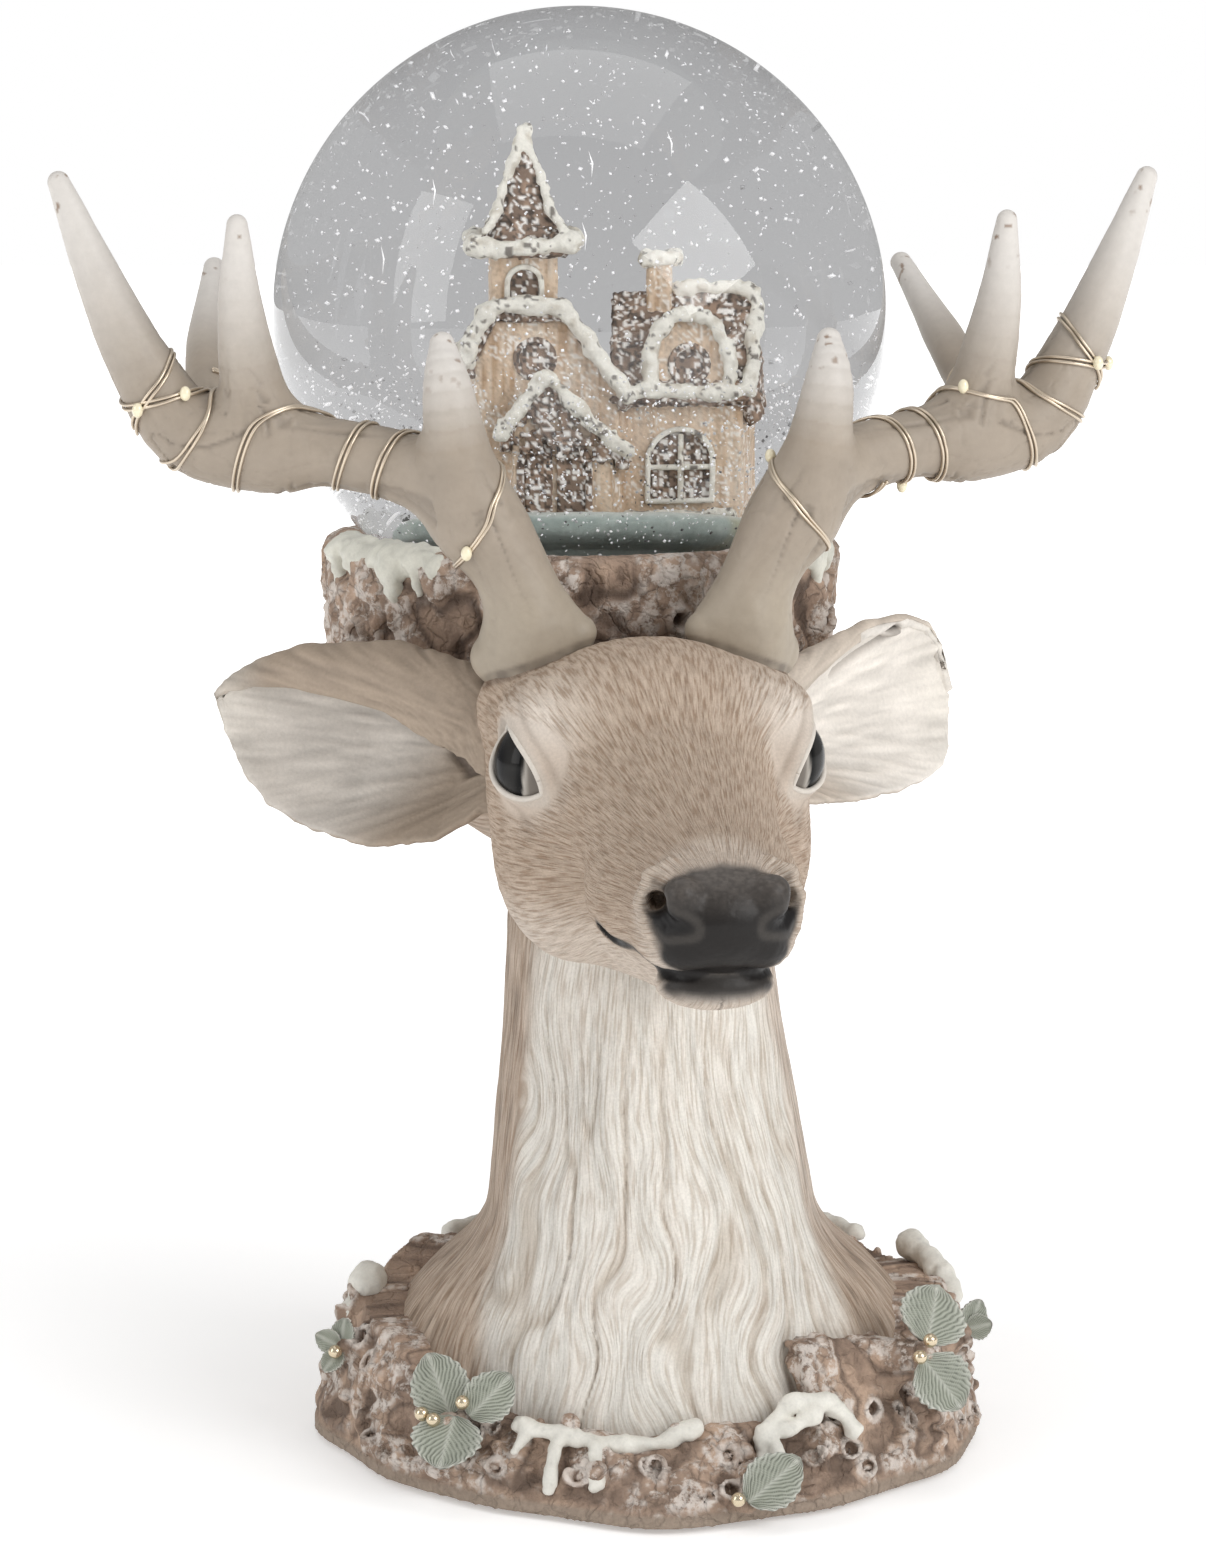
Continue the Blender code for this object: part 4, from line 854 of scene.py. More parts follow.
def bust():
    points, quads = surface_net(bust_field, (-48, -92, 8), (48, 66, 134), 0.85, 1.5)
    points = settled(bust_field, points)
    points, quads = subdivided(points, quads)
    points = settled(bust_field, points)
    out = outward(points, (quads,))
    h = to_head(points)
    head, m = head_field(h)
    on_head = smooth(neck_field(points) - head, -0.5, 2.5)
    strokes, locks, flow = hair_fields(points, h, on_head)
    nose = nose_share(m, h) * on_head
    near_eye, lid, gap, fold = eye_marks(m)
    bare = np.clip(nose + near_eye, 0, 1)
    relief = strokes * (0.16 - 0.05 * on_head) * (1 - bare) + locks * 0.7 + 0.06 * nose * noise(h * 2.6, 40)
    relief = (relief - 0.28 * fold) * smooth(points[:, 2], 10.25, 11)
    colour = bust_colour(points, h, m, strokes * (1 - bare), locks, on_head)
    colour = mix(colour, LID, lid * 0.8)
    colour = mix(colour, LID_FOLD, np.clip(fold * 0.35, 0, 1))
    colour = nose_paint(mix(colour, LID_GAP, gap), h, m, nose, on_head)
    layers = {"flow": flow, "hairy": (1 - bare) * (1 - 0.3 * chest_share(points)), "gloss": nose * 0.36}
    moved = points + out * relief[:, None]
    mesh_object("bust", moved, quads, fur_material(), colour=colour, layers=layers, node="bust_casting")
    lid_rims()


# --- antlers --------------------------------------------------------------------------------------
BEAM = spline(  # x, y, z, radius, for the antler at +X
    (
        (15.5, -2, 125, 7.4),
        (18.2, -2.6, 136, 6.0),
        (24, -1, 147, 6.0),
        (33, 3, 154, 5.6),
        (45, 8, 157, 5.3),
        (57, 12, 158, 6.0),
        (67, 15, 160, 6.1),
        (74, 17, 170, 5.0),
        (80, 18, 183, 3.6),
        (86, 19, 198, 1.7),
    ),
    4,
)
BROW = spline(((25, -1, 147, 5.8), (28, -3, 158, 5.0), (29.5, -3, 168, 3.6), (30, -1, 174, 1.9)), 4)
UPPER = spline(((54, 11, 157, 5.4), (57.5, 11, 167, 4.9), (59.5, 9, 180, 3.4), (60, 7, 191.8, 1.6)), 4)
REAR = spline(((60, 14, 158, 4.8), (62, 30, 162, 3.9), (61, 50, 171, 3.2), (58, 68, 182.5, 1.8)), 5)
TINES = (BEAM, BROW, UPPER, REAR)
FROSTED = (38, 17, 28, 34)  # how far each tip's frost reaches
FORKS = np.array(((26, -1, 150), (55, 11, 159), (62, 15, 160)), float)
ANTLER = (0.335, 0.28, 0.223)
FROST = (0.66, 0.63, 0.595)
ANTLER_FOOT = (0.385, 0.33, 0.255)
ANTLER_GLUE = (0.13, 0.10, 0.075)
CHIPPED = (0.24, 0.16, 0.11)


def antler_field(a):
    """Beam and tines, with a foot and a rim where the head holds it."""
    field = chain(a, BEAM[:, :3], BEAM[:, 3], 0.02)
    for tine in TINES[1:]:
        field = joined(field, chain(a, tine[:, :3], tine[:, 3], 0.02), 5)
    foot = limb(a, (15.5, -3, 131.5), (9.2, -4.6, 130.2), 5.2, 2.2)
    field = joined(field, foot, 4)
    rim = limb(a, (18, -2, 129), (22.4, 0, 126.0), 5.2, 3.2)
    return joined(field, rim, 4)


def along_limbs(p):
    """For each point its distance along the nearest limb, what is left to the tip, and its side."""
    best = np.full(len(p), 1e9)
    along, left, frost = np.zeros((3, len(p)))
    side = np.zeros((len(p), 3))
    for curve, reach in zip(TINES, FROSTED):
        steps = norm(np.diff(curve[:, :3], axis=0))
        whole = steps.sum()
        start = 0
        for a, b, length in zip(curve, curve[1:], steps):
            t = np.clip((p - a[:3]) @ (b - a)[:3] / length**2, 0, 1)
            off = p - a[:3] - t[:, None] * (b - a)[:3]
            far = norm(off)
            reached = far - (a[3] + (b[3] - a[3]) * t)
            near = reached < best
            best[near] = reached[near]
            along[near] = (start + t * length)[near]
            left[near] = whole - along[near]
            frost[near] = reach
            side[near] = (off / np.maximum(far, 1e-6)[:, None])[near]
            start += length
    return along, left, frost, side


def antler_skin():
    """The antler's points, faces and paint, for +X."""
    points, quads = surface_net(antler_field, (2, -18, 114), (92, 74, 202), 0.85, 1.5)
    points, quads = subdivided(points, quads)
    points = settled(antler_field, points)
    out = outward(points, (quads,))
    along, left, reach, side = along_limbs(points)
    round_it = side * 1.7 + (along / 15)[:, None] * (0.3, 0.5, 0.8)
    line = smooth(np.abs(noise(round_it, 51)), 0.11, 0.0)
    fine = smooth(np.abs(noise(round_it * 2.3, 52)), 0.12, 0.0)
    near_fork = np.min([norm(points - f) for f in FORKS], axis=0)
    folded = smooth(near_fork, 24, 8)
    bare = smooth(left, 14, 30)
    dent = (0.42 * line * (0.06 + 0.94 * folded) + 0.12 * fine * (0.3 + 0.7 * folded)) * bare
    points = points + out * (0.16 * layered(points * 0.12, 53) - dent)[:, None]
    frost = smooth(left, reach, reach * 0.08) ** 0.9
    colour = mix(ANTLER, ANTLER_FOOT, smooth(points[:, 2], 146, 130) * 0.7)
    colour = colour * (1 + 0.10 * layered(points * 0.2, 54))[:, None]
    colour = colour * (1 - 0.20 * np.clip(dent / 0.4, 0, 1))[:, None]
    glue = smooth(np.abs(head_field(points)[0] - 0.3), 1.1, 0.4) * (0.7 + 0.6 * noise(points * 0.5, 56))
    colour = mix(colour, ANTLER_GLUE, np.clip(glue, 0, 1) * 0.8)
    colour = mix(colour, FROST, frost * 0.9)
    return points, quads, colour, left


def antlers():
    """Both antlers, each with its own chips in the tips' frost."""
    points, quads, colour, left = antler_skin()
    mat = painted("antler_resin", 0.5, 700, 0.05, 0.14, 1.15, 0.4)
    for name, side in SIDES:
        chips = smooth(noise(points * 1.1, 60 + side), 0.62, 0.74) * smooth(left, 9, 3)
        painted_on = mix(colour, CHIPPED, chips * 0.9)
        placed, faces = sided(points, (quads,), side)
        node = "antler_" + name
        mesh_object(node + "_skin", placed, faces, mat, colour=painted_on, node=node, slot="antler_resin")


# --- ears and eyes --------------------------------------------------------------------------------
EAR_ROOT = np.array((22.5, 1.5, 113.5))
EAR_LENGTH = 50.0
EAR_SWEEP = {-1: 38, 1: 43}  # degrees back, for the ear at -X and at +X
EAR_DROP = {-1: 2.5, 1: 2.8}
EAR_TOP = {  # share of the length, height
    -1: ((0, 9.5), (0.05, 11.5), (0.35, 14.8), (0.68, 13.4), (0.86, 10.4), (0.95, 8), (1, 5.4)),
    1: ((0, 9), (0.25, 12.6), (0.55, 15.2), (0.8, 15.4), (0.9, 13.8), (0.96, 10.5), (1, 3.5)),
}
EAR_LOW = {
    -1: ((0, -9), (0.15, -14), (0.39, -16), (0.62, -14), (0.78, -10.8), (0.89, -5.5), (0.96, 0), (1, 5.2)),
    1: ((0, -9), (0.3, -10.6), (0.6, -10.8), (0.8, -10.0), (0.9, -8.4), (0.96, -5.6), (1, 2.6)),
}
EAR_ROLL = {
    -1: ((0, 13), (0.15, 12), (0.4, 9), (0.7, 5.5), (0.9, 2.6), (1, 0.4)),
    1: ((0, 5), (0.3, 2.6), (0.5, 0), (0.65, -1), (1, -0.6)),
}
EAR_CUP = ((0, 4), (0.15, 7), (0.5, 7), (0.85, 3.5), (1, 0.5))
EAR_FOLDS = (  # creases in the hollow of the ear at -X, as from and to along the ear and up
    ((2.5, 8), (3.6, -1)),
    ((5.4, 5.6), (5.7, -2)),
    ((9, 4), (6.8, 7)),
    ((9.6, -0.5), (6, -3.4)),
    ((6, -3.4), (2.5, -2.6)),
)
# Painted light: one fur paint in two copies, darker on the ear at -X as shade and paler on the ear at +X as
# light.
EAR_OUTER_LIT_AND_SHADED = {-1: (0.345, 0.275, 0.212), 1: (0.52, 0.45, 0.38)}
EAR_HOLLOW_LIT_AND_SHADED = {-1: (0.56, 0.515, 0.465), 1: (0.70, 0.655, 0.60)}
EAR_TIP = (0.66, 0.62, 0.56)
EAR_CREASE = (0.13, 0.10, 0.08)
PUPIL = (0.003, 0.003, 0.004)
IRIS = (0.022, 0.021, 0.02)
IRIS_EDGE = (0.004, 0.004, 0.004)
EYE_WHITE = (0.42, 0.39, 0.35)
EYE_CORNER = (0.17, 0.15, 0.13)


def table(rows, at):
    """Looks values up between rows of (place, value)."""
    rows = np.array(rows, float)
    return np.interp(at, rows[:, 0], rows[:, 1])


def ear_sheet(side, rows=120):
    """The middle of the ear's sheet on a grid: along it, then from the low rim to the rolled one."""
    share = np.sin(np.linspace(-0.02, 1, rows) * np.pi / 2)
    top, low = table(EAR_TOP[side], share), table(EAR_LOW[side], share)
    roll, cup = table(EAR_ROLL[side], share), table(EAR_CUP, share)
    tall = top - low
    lip = (0.4 if side < 0 else 0.05) * cup
    depth = (-0.25 * cup, 0.55 * cup, cup, 0.85 * cup, 0.1 * cup, -lip - 0.06 * roll, -0.8 * lip - 0.1 * roll)
    height = (low, low + 0.2 * tall, low + 0.5 * tall, low + 0.8 * tall, top, top - 0.35 * roll, top - roll)
    controls = np.stack([np.stack((EAR_LENGTH * share, d, h), 1) for d, h in zip(depth, height)])
    fine = spline(controls.reshape(len(controls), -1), 15)
    return fine.reshape(len(fine), rows, 3).transpose(1, 0, 2)


def ear_skin(side):
    """The ear as a closed sheet in its own frame, and 1 for each point in its hollow."""
    mid = ear_sheet(side)
    rows, across = mid.shape[:2]
    normal = np.cross(np.gradient(mid, axis=0), np.gradient(mid, axis=1))
    normal /= np.maximum(norm(normal), 1e-6)[..., None]
    if normal[rows // 2, across // 2, 1] > 0:
        normal = -normal  # it faces the hollow
    v = np.linspace(-1, 1, across)
    thick = (0.45 + 1.0 * (1 - v**6))[None, :, None] * np.linspace(1.1, 0.6, rows)[:, None, None]
    rings = np.concatenate((mid + normal * thick, (mid - normal * thick)[:, ::-1]), 1)
    hollow = np.concatenate((np.ones((rows, across)), np.zeros((rows, across))), 1).ravel()
    return *lofted(rings), np.append(hollow, (0.5, 0.5))


def ear(name, side):
    """One ear: fur outside, a pale hollow with creases inside."""
    points, faces, hollow = ear_skin(side)
    out = outward(points, faces)
    turn = np.arctan2(points[:, 2] - 1, points[:, 0] + 9)
    reach = np.hypot(points[:, 2], points[:, 0] + 9)
    strokes = noise(np.stack((turn * 42, reach / 7, hollow * 9), 1), 71)
    strokes += 0.6 * noise(np.stack((turn * 75, reach / 5, hollow * 9), 1), 72)
    flat = np.stack((points[:, 0], 0 * reach, points[:, 2]), 1)
    folds = np.min([limb(flat, (a, 0, b), (c, 0, d), 0.7, 0.5) for (a, b), (c, d) in EAR_FOLDS], axis=0)
    fold = smooth(folds, 0.5, -0.3) * (side < 0) * hollow
    crease = smooth(limb(flat, (24, 0, 9.5), (36, 0, 15), 0.5, 0.5), 0.9, -0.2) * (side > 0) * hollow
    points = points + out * (0.2 * strokes - 0.7 * fold - 0.8 * crease)[:, None]
    pale = hollow * smooth(points[:, 0] + 0.7 * points[:, 2], 4, 20)
    # The ear at -X takes the shaded copy of the paint, the ear at +X the lit one.
    colour = mix(EAR_OUTER_LIT_AND_SHADED[side], EAR_HOLLOW_LIT_AND_SHADED[side], pale)
    colour = mix(colour, EAR_TIP, smooth(points[:, 0], 38, 50) * 0.6)
    colour = colour * (1 + 0.16 * np.clip(strokes, -1, 1) + 0.05 * noise(points * 0.3, 74))[:, None]
    colour = mix(colour, EAR_CREASE, np.clip(fold * 0.8 + crease * 0.5, 0, 1))
    placed = from_head(ear_place(points, side))
    faces = faces if side > 0 else tuple(f[:, ::-1] for f in faces)
    mat = painted(name + "_fur", 0.72, 1600, 0.1, 0.2)
    mesh_object(name + "_skin", placed, faces, mat, colour=colour, node=name, slot="fur_resin")


def ear_place(points, side):
    """From the ear's own frame to the head's."""
    angle = math.radians(EAR_SWEEP[side])
    turn = Matrix.Rotation(angle, 3, "Z") @ Matrix.Rotation(math.radians(-8), 3, "X")
    return (points @ np.array(turn).T + EAR_ROOT - (0, 0, EAR_DROP[side])) * (side, 1, 1)


def ears():
    for name, side in SIDES:
        ear("ear_" + name, side)


def eyes():
    """Glossy dark balls with a pale rim that shows at the corners."""
    n = Nodes("eye_gloss")
    n.set(Base_Color=n.attribute("tint"), Roughness=0.2, Specular_IOR_Level=0.05)
    n.set(Coat_Weight=0.16, Coat_Roughness=0.03)
    for name, side in SIDES:
        points, faces = ball(EYE, (EYE_BALL,) * 3, 48)
        q = points - EYE
        iris = np.hypot((q @ EYE_ALONG + 2.2) * 0.86, q @ EYE_UP * 0.74)
        dark = mix(PUPIL, IRIS, smooth(iris, 1.5, 3.6))
        dark = mix(dark, IRIS_EDGE, smooth(iris, 4.2, 5.0))
        white = mix(EYE_WHITE, EYE_CORNER, smooth(iris, 5.5, 6.1))
        colour = mix(dark, white, smooth(iris, 5.3, 5.5))
        placed, faces = sided(points, faces, side)
        node = "eye_" + name
        mesh_object(node + "_ball", placed, faces, n.mat, colour=colour, node=node, slot="eye_gloss")


# --- stump ----------------------------------------------------------------------------------------
STUMP = (  # radius, height
    (3, 98.2),
    (24.5, 98.2),
    (28, 100),
    (33, 103.6),
    (38, 108.5),
    (40, 114),
    (40.4, 124),
    (41.2, 134),
    (41.2, 137.5),
    (40, 139.4),
    (37.8, 139.9),
    (36.2, 139.2),
    (33.2, 137.4),
    (28.8, 134.0),
    (28.3, 130),
    (28.1, 120.6),
    (3, 120.4),
)
BARK = (0.36, 0.258, 0.195)
BARK_RED = (0.52, 0.375, 0.28)
DUSTED = (0.72, 0.655, 0.60)
BARK_CRACK = (0.085, 0.058, 0.044)
BARK_KNOT = (0.07, 0.05, 0.04)
# painted shade for the stump's front, behind the head
STUMP_SHADE = (0.12, 0.083, 0.063)
STUMP_SNOW = (0.70, 0.69, 0.61)
STUMP_KNOTS = (  # degrees round the stump, height, size
    (-140, 127, 2.6),
    (-105, 118, 2.9),
    (-88, 107, 2.4),
    (-68, 126, 2.2),
    (-52, 113, 2.7),
    (-20, 125, 3.2),
    (12, 130, 2.2),
    (33, 118, 2.6),
    (62, 127, 2.4),
    (88, 115, 2.8),
    (118, 124, 2.5),
    (150, 119, 3.0),
)


def wrapped(turn, other):
    """The angle from one to the other, in degrees from -180 to 180."""
    return (turn - other + 180) % 360 - 180


def bark_relief(round_it, rise, seed):
    """The bark's plates and chips: relief, how cracked, and the fine roughness. round_it is a place
    on a circle as long as the bark goes round."""
    p = np.column_stack((round_it, rise * 0.72))
    sway = np.stack([2.6 * layered(p / 5.5, seed + 5 + i, 2) for i in range(3)], 1)
    plate = noise((p + sway) / 5.2, seed)
    flake = noise((p + 0.8 * sway) / 2.4, seed + 1)
    rough = layered(p / 1.3, seed + 2, 2)
    step = smooth(plate, -0.10, 0.06) - 0.5
    chip = smooth(flake, -0.14, 0.05) - 0.5
    crack = smooth(plate, -0.05, -0.16) * smooth(plate, -0.42, -0.2) + 0.5 * smooth(flake, -0.1, -0.3)
    relief = 1.3 * step + 0.7 * chip + 0.6 * plate + 0.5 * rough
    return relief, np.clip(crack, 0, 1), rough


def ring_knots(arc, rise, knots, radius):
    """Raised rings with a dark eye: their relief, how dark, and how near the ridge."""
    relief, dark, ridge = np.zeros((3, len(arc)))
    for turn, height, size in knots:
        far = np.hypot(np.radians(wrapped(arc, turn)) * radius, rise - height) / size
        relief += 1.3 * np.exp(-(((far - 0.85) / 0.28) ** 2)) - 1.6 * smooth(far, 0.55, 0.2)
        dark = np.maximum(dark, smooth(far, 0.6, 0.3))
        ridge = np.maximum(ridge, np.exp(-(((far - 0.85) / 0.22) ** 2)))
    return relief, dark, ridge


def bark_paint(p, relief, crack, seed):
    """Brown bark with white dragged over the high spots."""
    colour = mix(BARK, BARK_RED, smooth(layered(p / 6.0, seed), -0.3, 0.6))
    colour = mix(colour, BARK_CRACK, np.clip(crack, 0, 1) * 0.85)
    drag = smooth(layered(p * (0.8, 0.8, 0.6), seed + 3), 0.1, 0.6) * smooth(relief, -0.4, 0.8)
    return mix(colour, DUSTED, np.clip(drag, 0, 0.7))


def stump(mat):
    """The stump as a turned shape with bark round it and a hollow for the ball on top."""
    outline = spline(STUMP, 14)
    steps = travelled(outline)
    outline = looked_up(np.linspace(0, steps[-1], 190), steps, outline)
    outline = outline[outline[:, 0] > 2.9]
    turn = np.arange(520) / 520 * 2 * np.pi
    x, y = np.outer(outline[:, 0], np.sin(turn)), np.outer(outline[:, 0], -np.cos(turn))
    points, faces = lofted(np.stack((x, y, 0 * x + outline[:, 1:]), -1))
    out = outward(points, faces)
    radius = np.hypot(points[:, 0], points[:, 1])
    arc = np.degrees(np.arctan2(points[:, 0], -points[:, 1]))
    circle = points[:, :2] / np.maximum(radius, 1)[:, None] * 40
    relief, crack, rough = bark_relief(circle, points[:, 2], 80)
    knots, dark, ridge = ring_knots(arc, points[:, 2], STUMP_KNOTS, 40)
    side = smooth(radius, 36.5, 39.5) * smooth(points[:, 2], 99, 104) * smooth(points[:, 2], 141, 136)
    bed = smooth(radius, 29, 33) * smooth(points[:, 2], 133, 137) * (1 - side)
    height = (relief * (1 - dark) + knots) * side + 0.35 * rough * bed
    colour = bark_paint(points + (0, 0, 3), relief * side + knots, crack * side, 84)
    colour = mix(colour, BARK_KNOT, dark * side * 0.8)
    colour = mix(colour, DUSTED, ridge * side * 0.55)
    # Painted shade: a dark patch high on the stump's front, behind the head and between the antlers, with no
    # white dragged over it.
    head_shade = np.exp(-((wrapped(arc, -2) / 11) ** 2)) * smooth(points[:, 2] + 2 * relief, 136, 131)
    colour = mix(colour, STUMP_SHADE, head_shade * 0.75)
    proud = np.clip(smooth(relief, -0.5, 0.7) * (1 - dark) + ridge, 0, 1) * (1 - 0.8 * head_shade)
    moved = points + out * height[:, None]
    placed = from_head(moved + (GLOBE[0], GLOBE[1], 0))
    more = {"node": "stump_pedestal", "slot": "bark_resin"}
    mesh_object("stump_bark", placed, faces, mat, colour=colour, layers={"proud": proud}, **more)


SNOW_SPANS = (  # from, to in degrees round the stump (0 in front, + to +X), drips as (angle, length, radius)
    (-86, -42, ((-80, 4.5, 1.9), (-72, 3, 1.6), (-56, 5.5, 2.4), (-49, 4.5, 1.4), (-43, 2.5, 1.6))),
    (56, 66, ((58, 6, 1.3), (64, 3, 1.5))),
    (128, 205, ((135, 7, 2.0), (150, 10, 1.6), (170, 6, 2.2), (188, 9, 1.6), (200, 5, 1.8))),
)


def on_stump(angle, radius, height):
    """A place round the stump, in degrees from its front towards +X."""
    a = math.radians(angle)
    return (GLOBE[0] + radius * math.sin(a), GLOBE[1] - radius * math.cos(a), height)


def snow_rows():
    """Snow along the stump's rim, with its drips."""
    rows = []
    for start, end, drips in SNOW_SPANS:
        angles = np.arange(start, end + 0.1, 8.0)
        rows.append((2.2, *[on_stump(a, 40.0, 138.2 + 0.7 * math.sin(a * 0.31)) for a in angles]))
        rows.append((1.6, *[on_stump(a, 38.2, 139.2) for a in angles]))
        for angle, length, radius in drips:
            steps = [on_stump(angle + 0.4 * i, 41.0, 137.8 - length * i / 3) for i in range(4)]
            rows.append((radius * np.linspace(1.15, 0.55, 13), *steps))
    return rows


def stump_snow_field(h):
    return strings(h, snow_rows(), 1.3, 0.12) + 0.45 * noise(h * 0.55, 90) + 0.15 * noise(h * 1.5, 93)


def snow_material():
    n = Nodes("snow_paint")
    grain = n.noise(2400, 3.0)
    tint = n.blend(0.3, n.attribute("tint"), n.ramp(grain, ((0.3, 0.8), (0.65, 1.1))), "MULTIPLY")
    n.set(Base_Color=tint, Roughness=0.5, Normal=n.bump(grain, 0.08, 0.5), Specular_IOR_Level=0.4)
    return n.mat


def netted(name, field, low, high, step, mat, tint, place=None, **more):
    """A piece meshed straight from its field, evenly coloured."""
    points, quads = surface_net(field, low, high, step, 1.5)
    points = settled(field, points)
    shade = 1 + 0.10 * noise(points * 0.5, 91) - 0.10 * smooth(noise(points * 1.4, 92), 0.35, 0.7)
    colour = np.array(tint) * shade[:, None]
    placed = place(points) if place else points
    mesh_object(name, placed, quads, mat, colour=colour, **more)


def stump_snow(mat):
    low, high = (GLOBE[0] - 46, GLOBE[1] - 46, 118), (GLOBE[0] + 46, GLOBE[1] + 46, 145)
    netted("stump_snow", stump_snow_field, low, high, 0.5, mat, STUMP_SNOW, from_head, slot="bark_resin")


# --- globe ----------------------------------------------------------------------------------------
CENTRE = from_head(GLOBE)[0]
WALL = 2.2
# painted shade seen through the glass's far side, low and high
GLASS_SHADE_LOW = (0.62, 0.62, 0.635)
GLASS_SHADE_HIGH = (0.50, 0.505, 0.53)


def turned(outline, sides):
    """A closed body of revolution about the globe's upright axis, from (radius, height) rows."""
    outline = np.asarray(outline, float)
    turn = np.arange(sides) / sides * 2 * np.pi
    x, y = np.outer(outline[:, 0], np.cos(turn)), np.outer(outline[:, 0], np.sin(turn))
    rings = np.stack((x + CENTRE[0], y + CENTRE[1], 0 * x + outline[:, 1:]), -1)
    return lofted(rings)


def ball_arc(radius, start, end, steps):
    """(radius, height) rows on a ball about the globe's centre, by angles from the top in degrees."""
    a = np.radians(np.linspace(start, end, steps))
    return np.stack((radius * np.sin(a), CENTRE[2] + radius * np.cos(a)), 1)


def glass_outline():
    """The glass ball's wall and its neck, from (radius, height) rows."""
    outer = ball_arc(GLOBE_RADIUS, 0.4, 147.3, 110)
    inner = ball_arc(GLOBE_RADIUS - WALL, 148.6, 0.4, 110)
    neck = ((27.0, 131.5), (27.0, 124.6), (26.6, 124.1), (25.3, 124.1), (24.9, 124.6), (24.9, 132.5))
    return np.vstack((outer, neck, inner))


def glass_material():
    """Clear going in; a little grey going out at the far side, painted shade for the dim surroundings seen
    through the ball. The inner wall is glass against water.
    """
    n = Nodes("globe_glass")
    light = n.node("LightPath").outputs
    shape = n.node("NewGeometry").outputs
    inner = n.attribute("inner", "Fac")
    leaving = n.maths("MULTIPLY", shape["Backfacing"], n.maths("SUBTRACT", 1.0, inner))
    colour = n.blend(leaving, (0.99, 0.99, 0.99), n.attribute("tint"))
    index = n.maths("SUBTRACT", 1.46, n.maths("MULTIPLY", inner, 0.36))
    n.set(Base_Color=colour, Roughness=0.0, IOR=index, Transmission_Weight=1.0)
    clear = n.node("BsdfTransparent", {"Color": (0.97, 0.97, 0.97)})
    plain = n.maths("MAXIMUM", light["Is Shadow Ray"], light["Is Diffuse Ray"])
    n.surface(plain, n.shader, clear)
    return n.mat


def globe():
    """The glass ball. The layer inner marks the wall that touches the water."""
    points, faces = turned(glass_outline(), 200)
    far = norm(points - CENTRE)
    in_bore = np.hypot(*(points - CENTRE)[:, :2].T) < 26
    inner = (far < GLOBE_RADIUS - WALL / 2) & ((points[:, 2] > 132) | in_bore)
    up = (points[:, 2] - CENTRE[2]) / GLOBE_RADIUS
    # Painted shade: a grey, darker high up, that stands for the dim surroundings seen through the ball's far
    # side.
    colour = mix(GLASS_SHADE_LOW, GLASS_SHADE_HIGH, smooth(up, -0.2, 0.7))
    more = {"layers": {"inner": inner.astype(float)}, "node": "globe_glass", "slot": "globe_glass"}
    mesh_object("globe_ball", points, faces, glass_material(), colour=colour, **more)


def glowing_glitter_material():
    n = Nodes("glitter")
    n.set(Base_Color=n.attribute("tint"), Roughness=0.3, Metallic=0.35, Specular_IOR_Level=0.6)
    # Painted light: the flakes and streaks glow a little, so that none turns dark where it faces away from
    # the lamps.
    n.set(Emission_Color=n.attribute("tint"), Emission_Strength=0.35)
    return n.mat


def flakes(places, sizes, rng):
    """Thin closed lozenges, each turned its own way."""
    count = len(places)
    axes = rng.normal(size=(count, 2, 3))
    u = unit(axes[:, 0])
    w = unit(np.cross(u, axes[:, 1]))
    v = np.cross(w, u)
    s = sizes[:, None]
    corners = [u * s, v * s, -u * s, -v * s, w * s * 0.22, -w * s * 0.22]
    points = (places[:, None, :] + np.stack(corners, 1)).reshape(-1, 3)
    round_it = [(i, (i + 1) % 4) for i in range(4)]
    one = np.array([(a, b, 4) for a, b in round_it] + [(b, a, 5) for a, b in round_it])
    faces = (one[None] + np.arange(count)[:, None, None] * 6).reshape(-1, 3)
    return points, (faces,)


def ball_places(rng, count, inner=0.0, outer=46.5):
    """Places in the water, denser low down and near the glass."""
    d = unit(rng.normal(size=(count * 6, 3)))
    r = (rng.random(count * 6) * (outer**3 - inner**3) + inner**3) ** (1 / 3)
    p = d * r[:, None]
    flat = np.hypot(p[:, 0], p[:, 1])
    ok = (p[:, 2] > -36) & ~((flat < 25.5) & (p[:, 2] < -24)) & ~in_house(p + CENTRE)
    low = (p[:, 2] < -6) * smooth(flat, 14, 30) * smooth(p[:, 2], -2, -16)
    keep = rng.random(len(p)) < 0.15 + 0.85 * low
    return (p + CENTRE)[ok & keep][:count]


def in_house(p):
    """Whether each place is inside the chapel, where no glitter floats."""
    q = p - (CENTRE[0], CENTRE[1], GROUND)
    nave = (np.abs(q[:, 0] + 4) < 12) & (np.abs(q[:, 1]) < 12) & (q[:, 2] < 29)
    wing = (np.abs(q[:, 0] - 12.5) < 11) & (np.abs(q[:, 1] - 2) < 10) & (q[:, 2] < 30)
    tower = (np.abs(q[:, 0] + 6.7) < 7) & (np.abs(q[:, 1] - 1) < 7) & (q[:, 2] < 50)
    return nave | wing | tower


STREAKS = ((-22, -38, 19), (2, -40, 23), (1, -41, 12), (-29, -31, 8), (14, -36, 26))  # from the centre


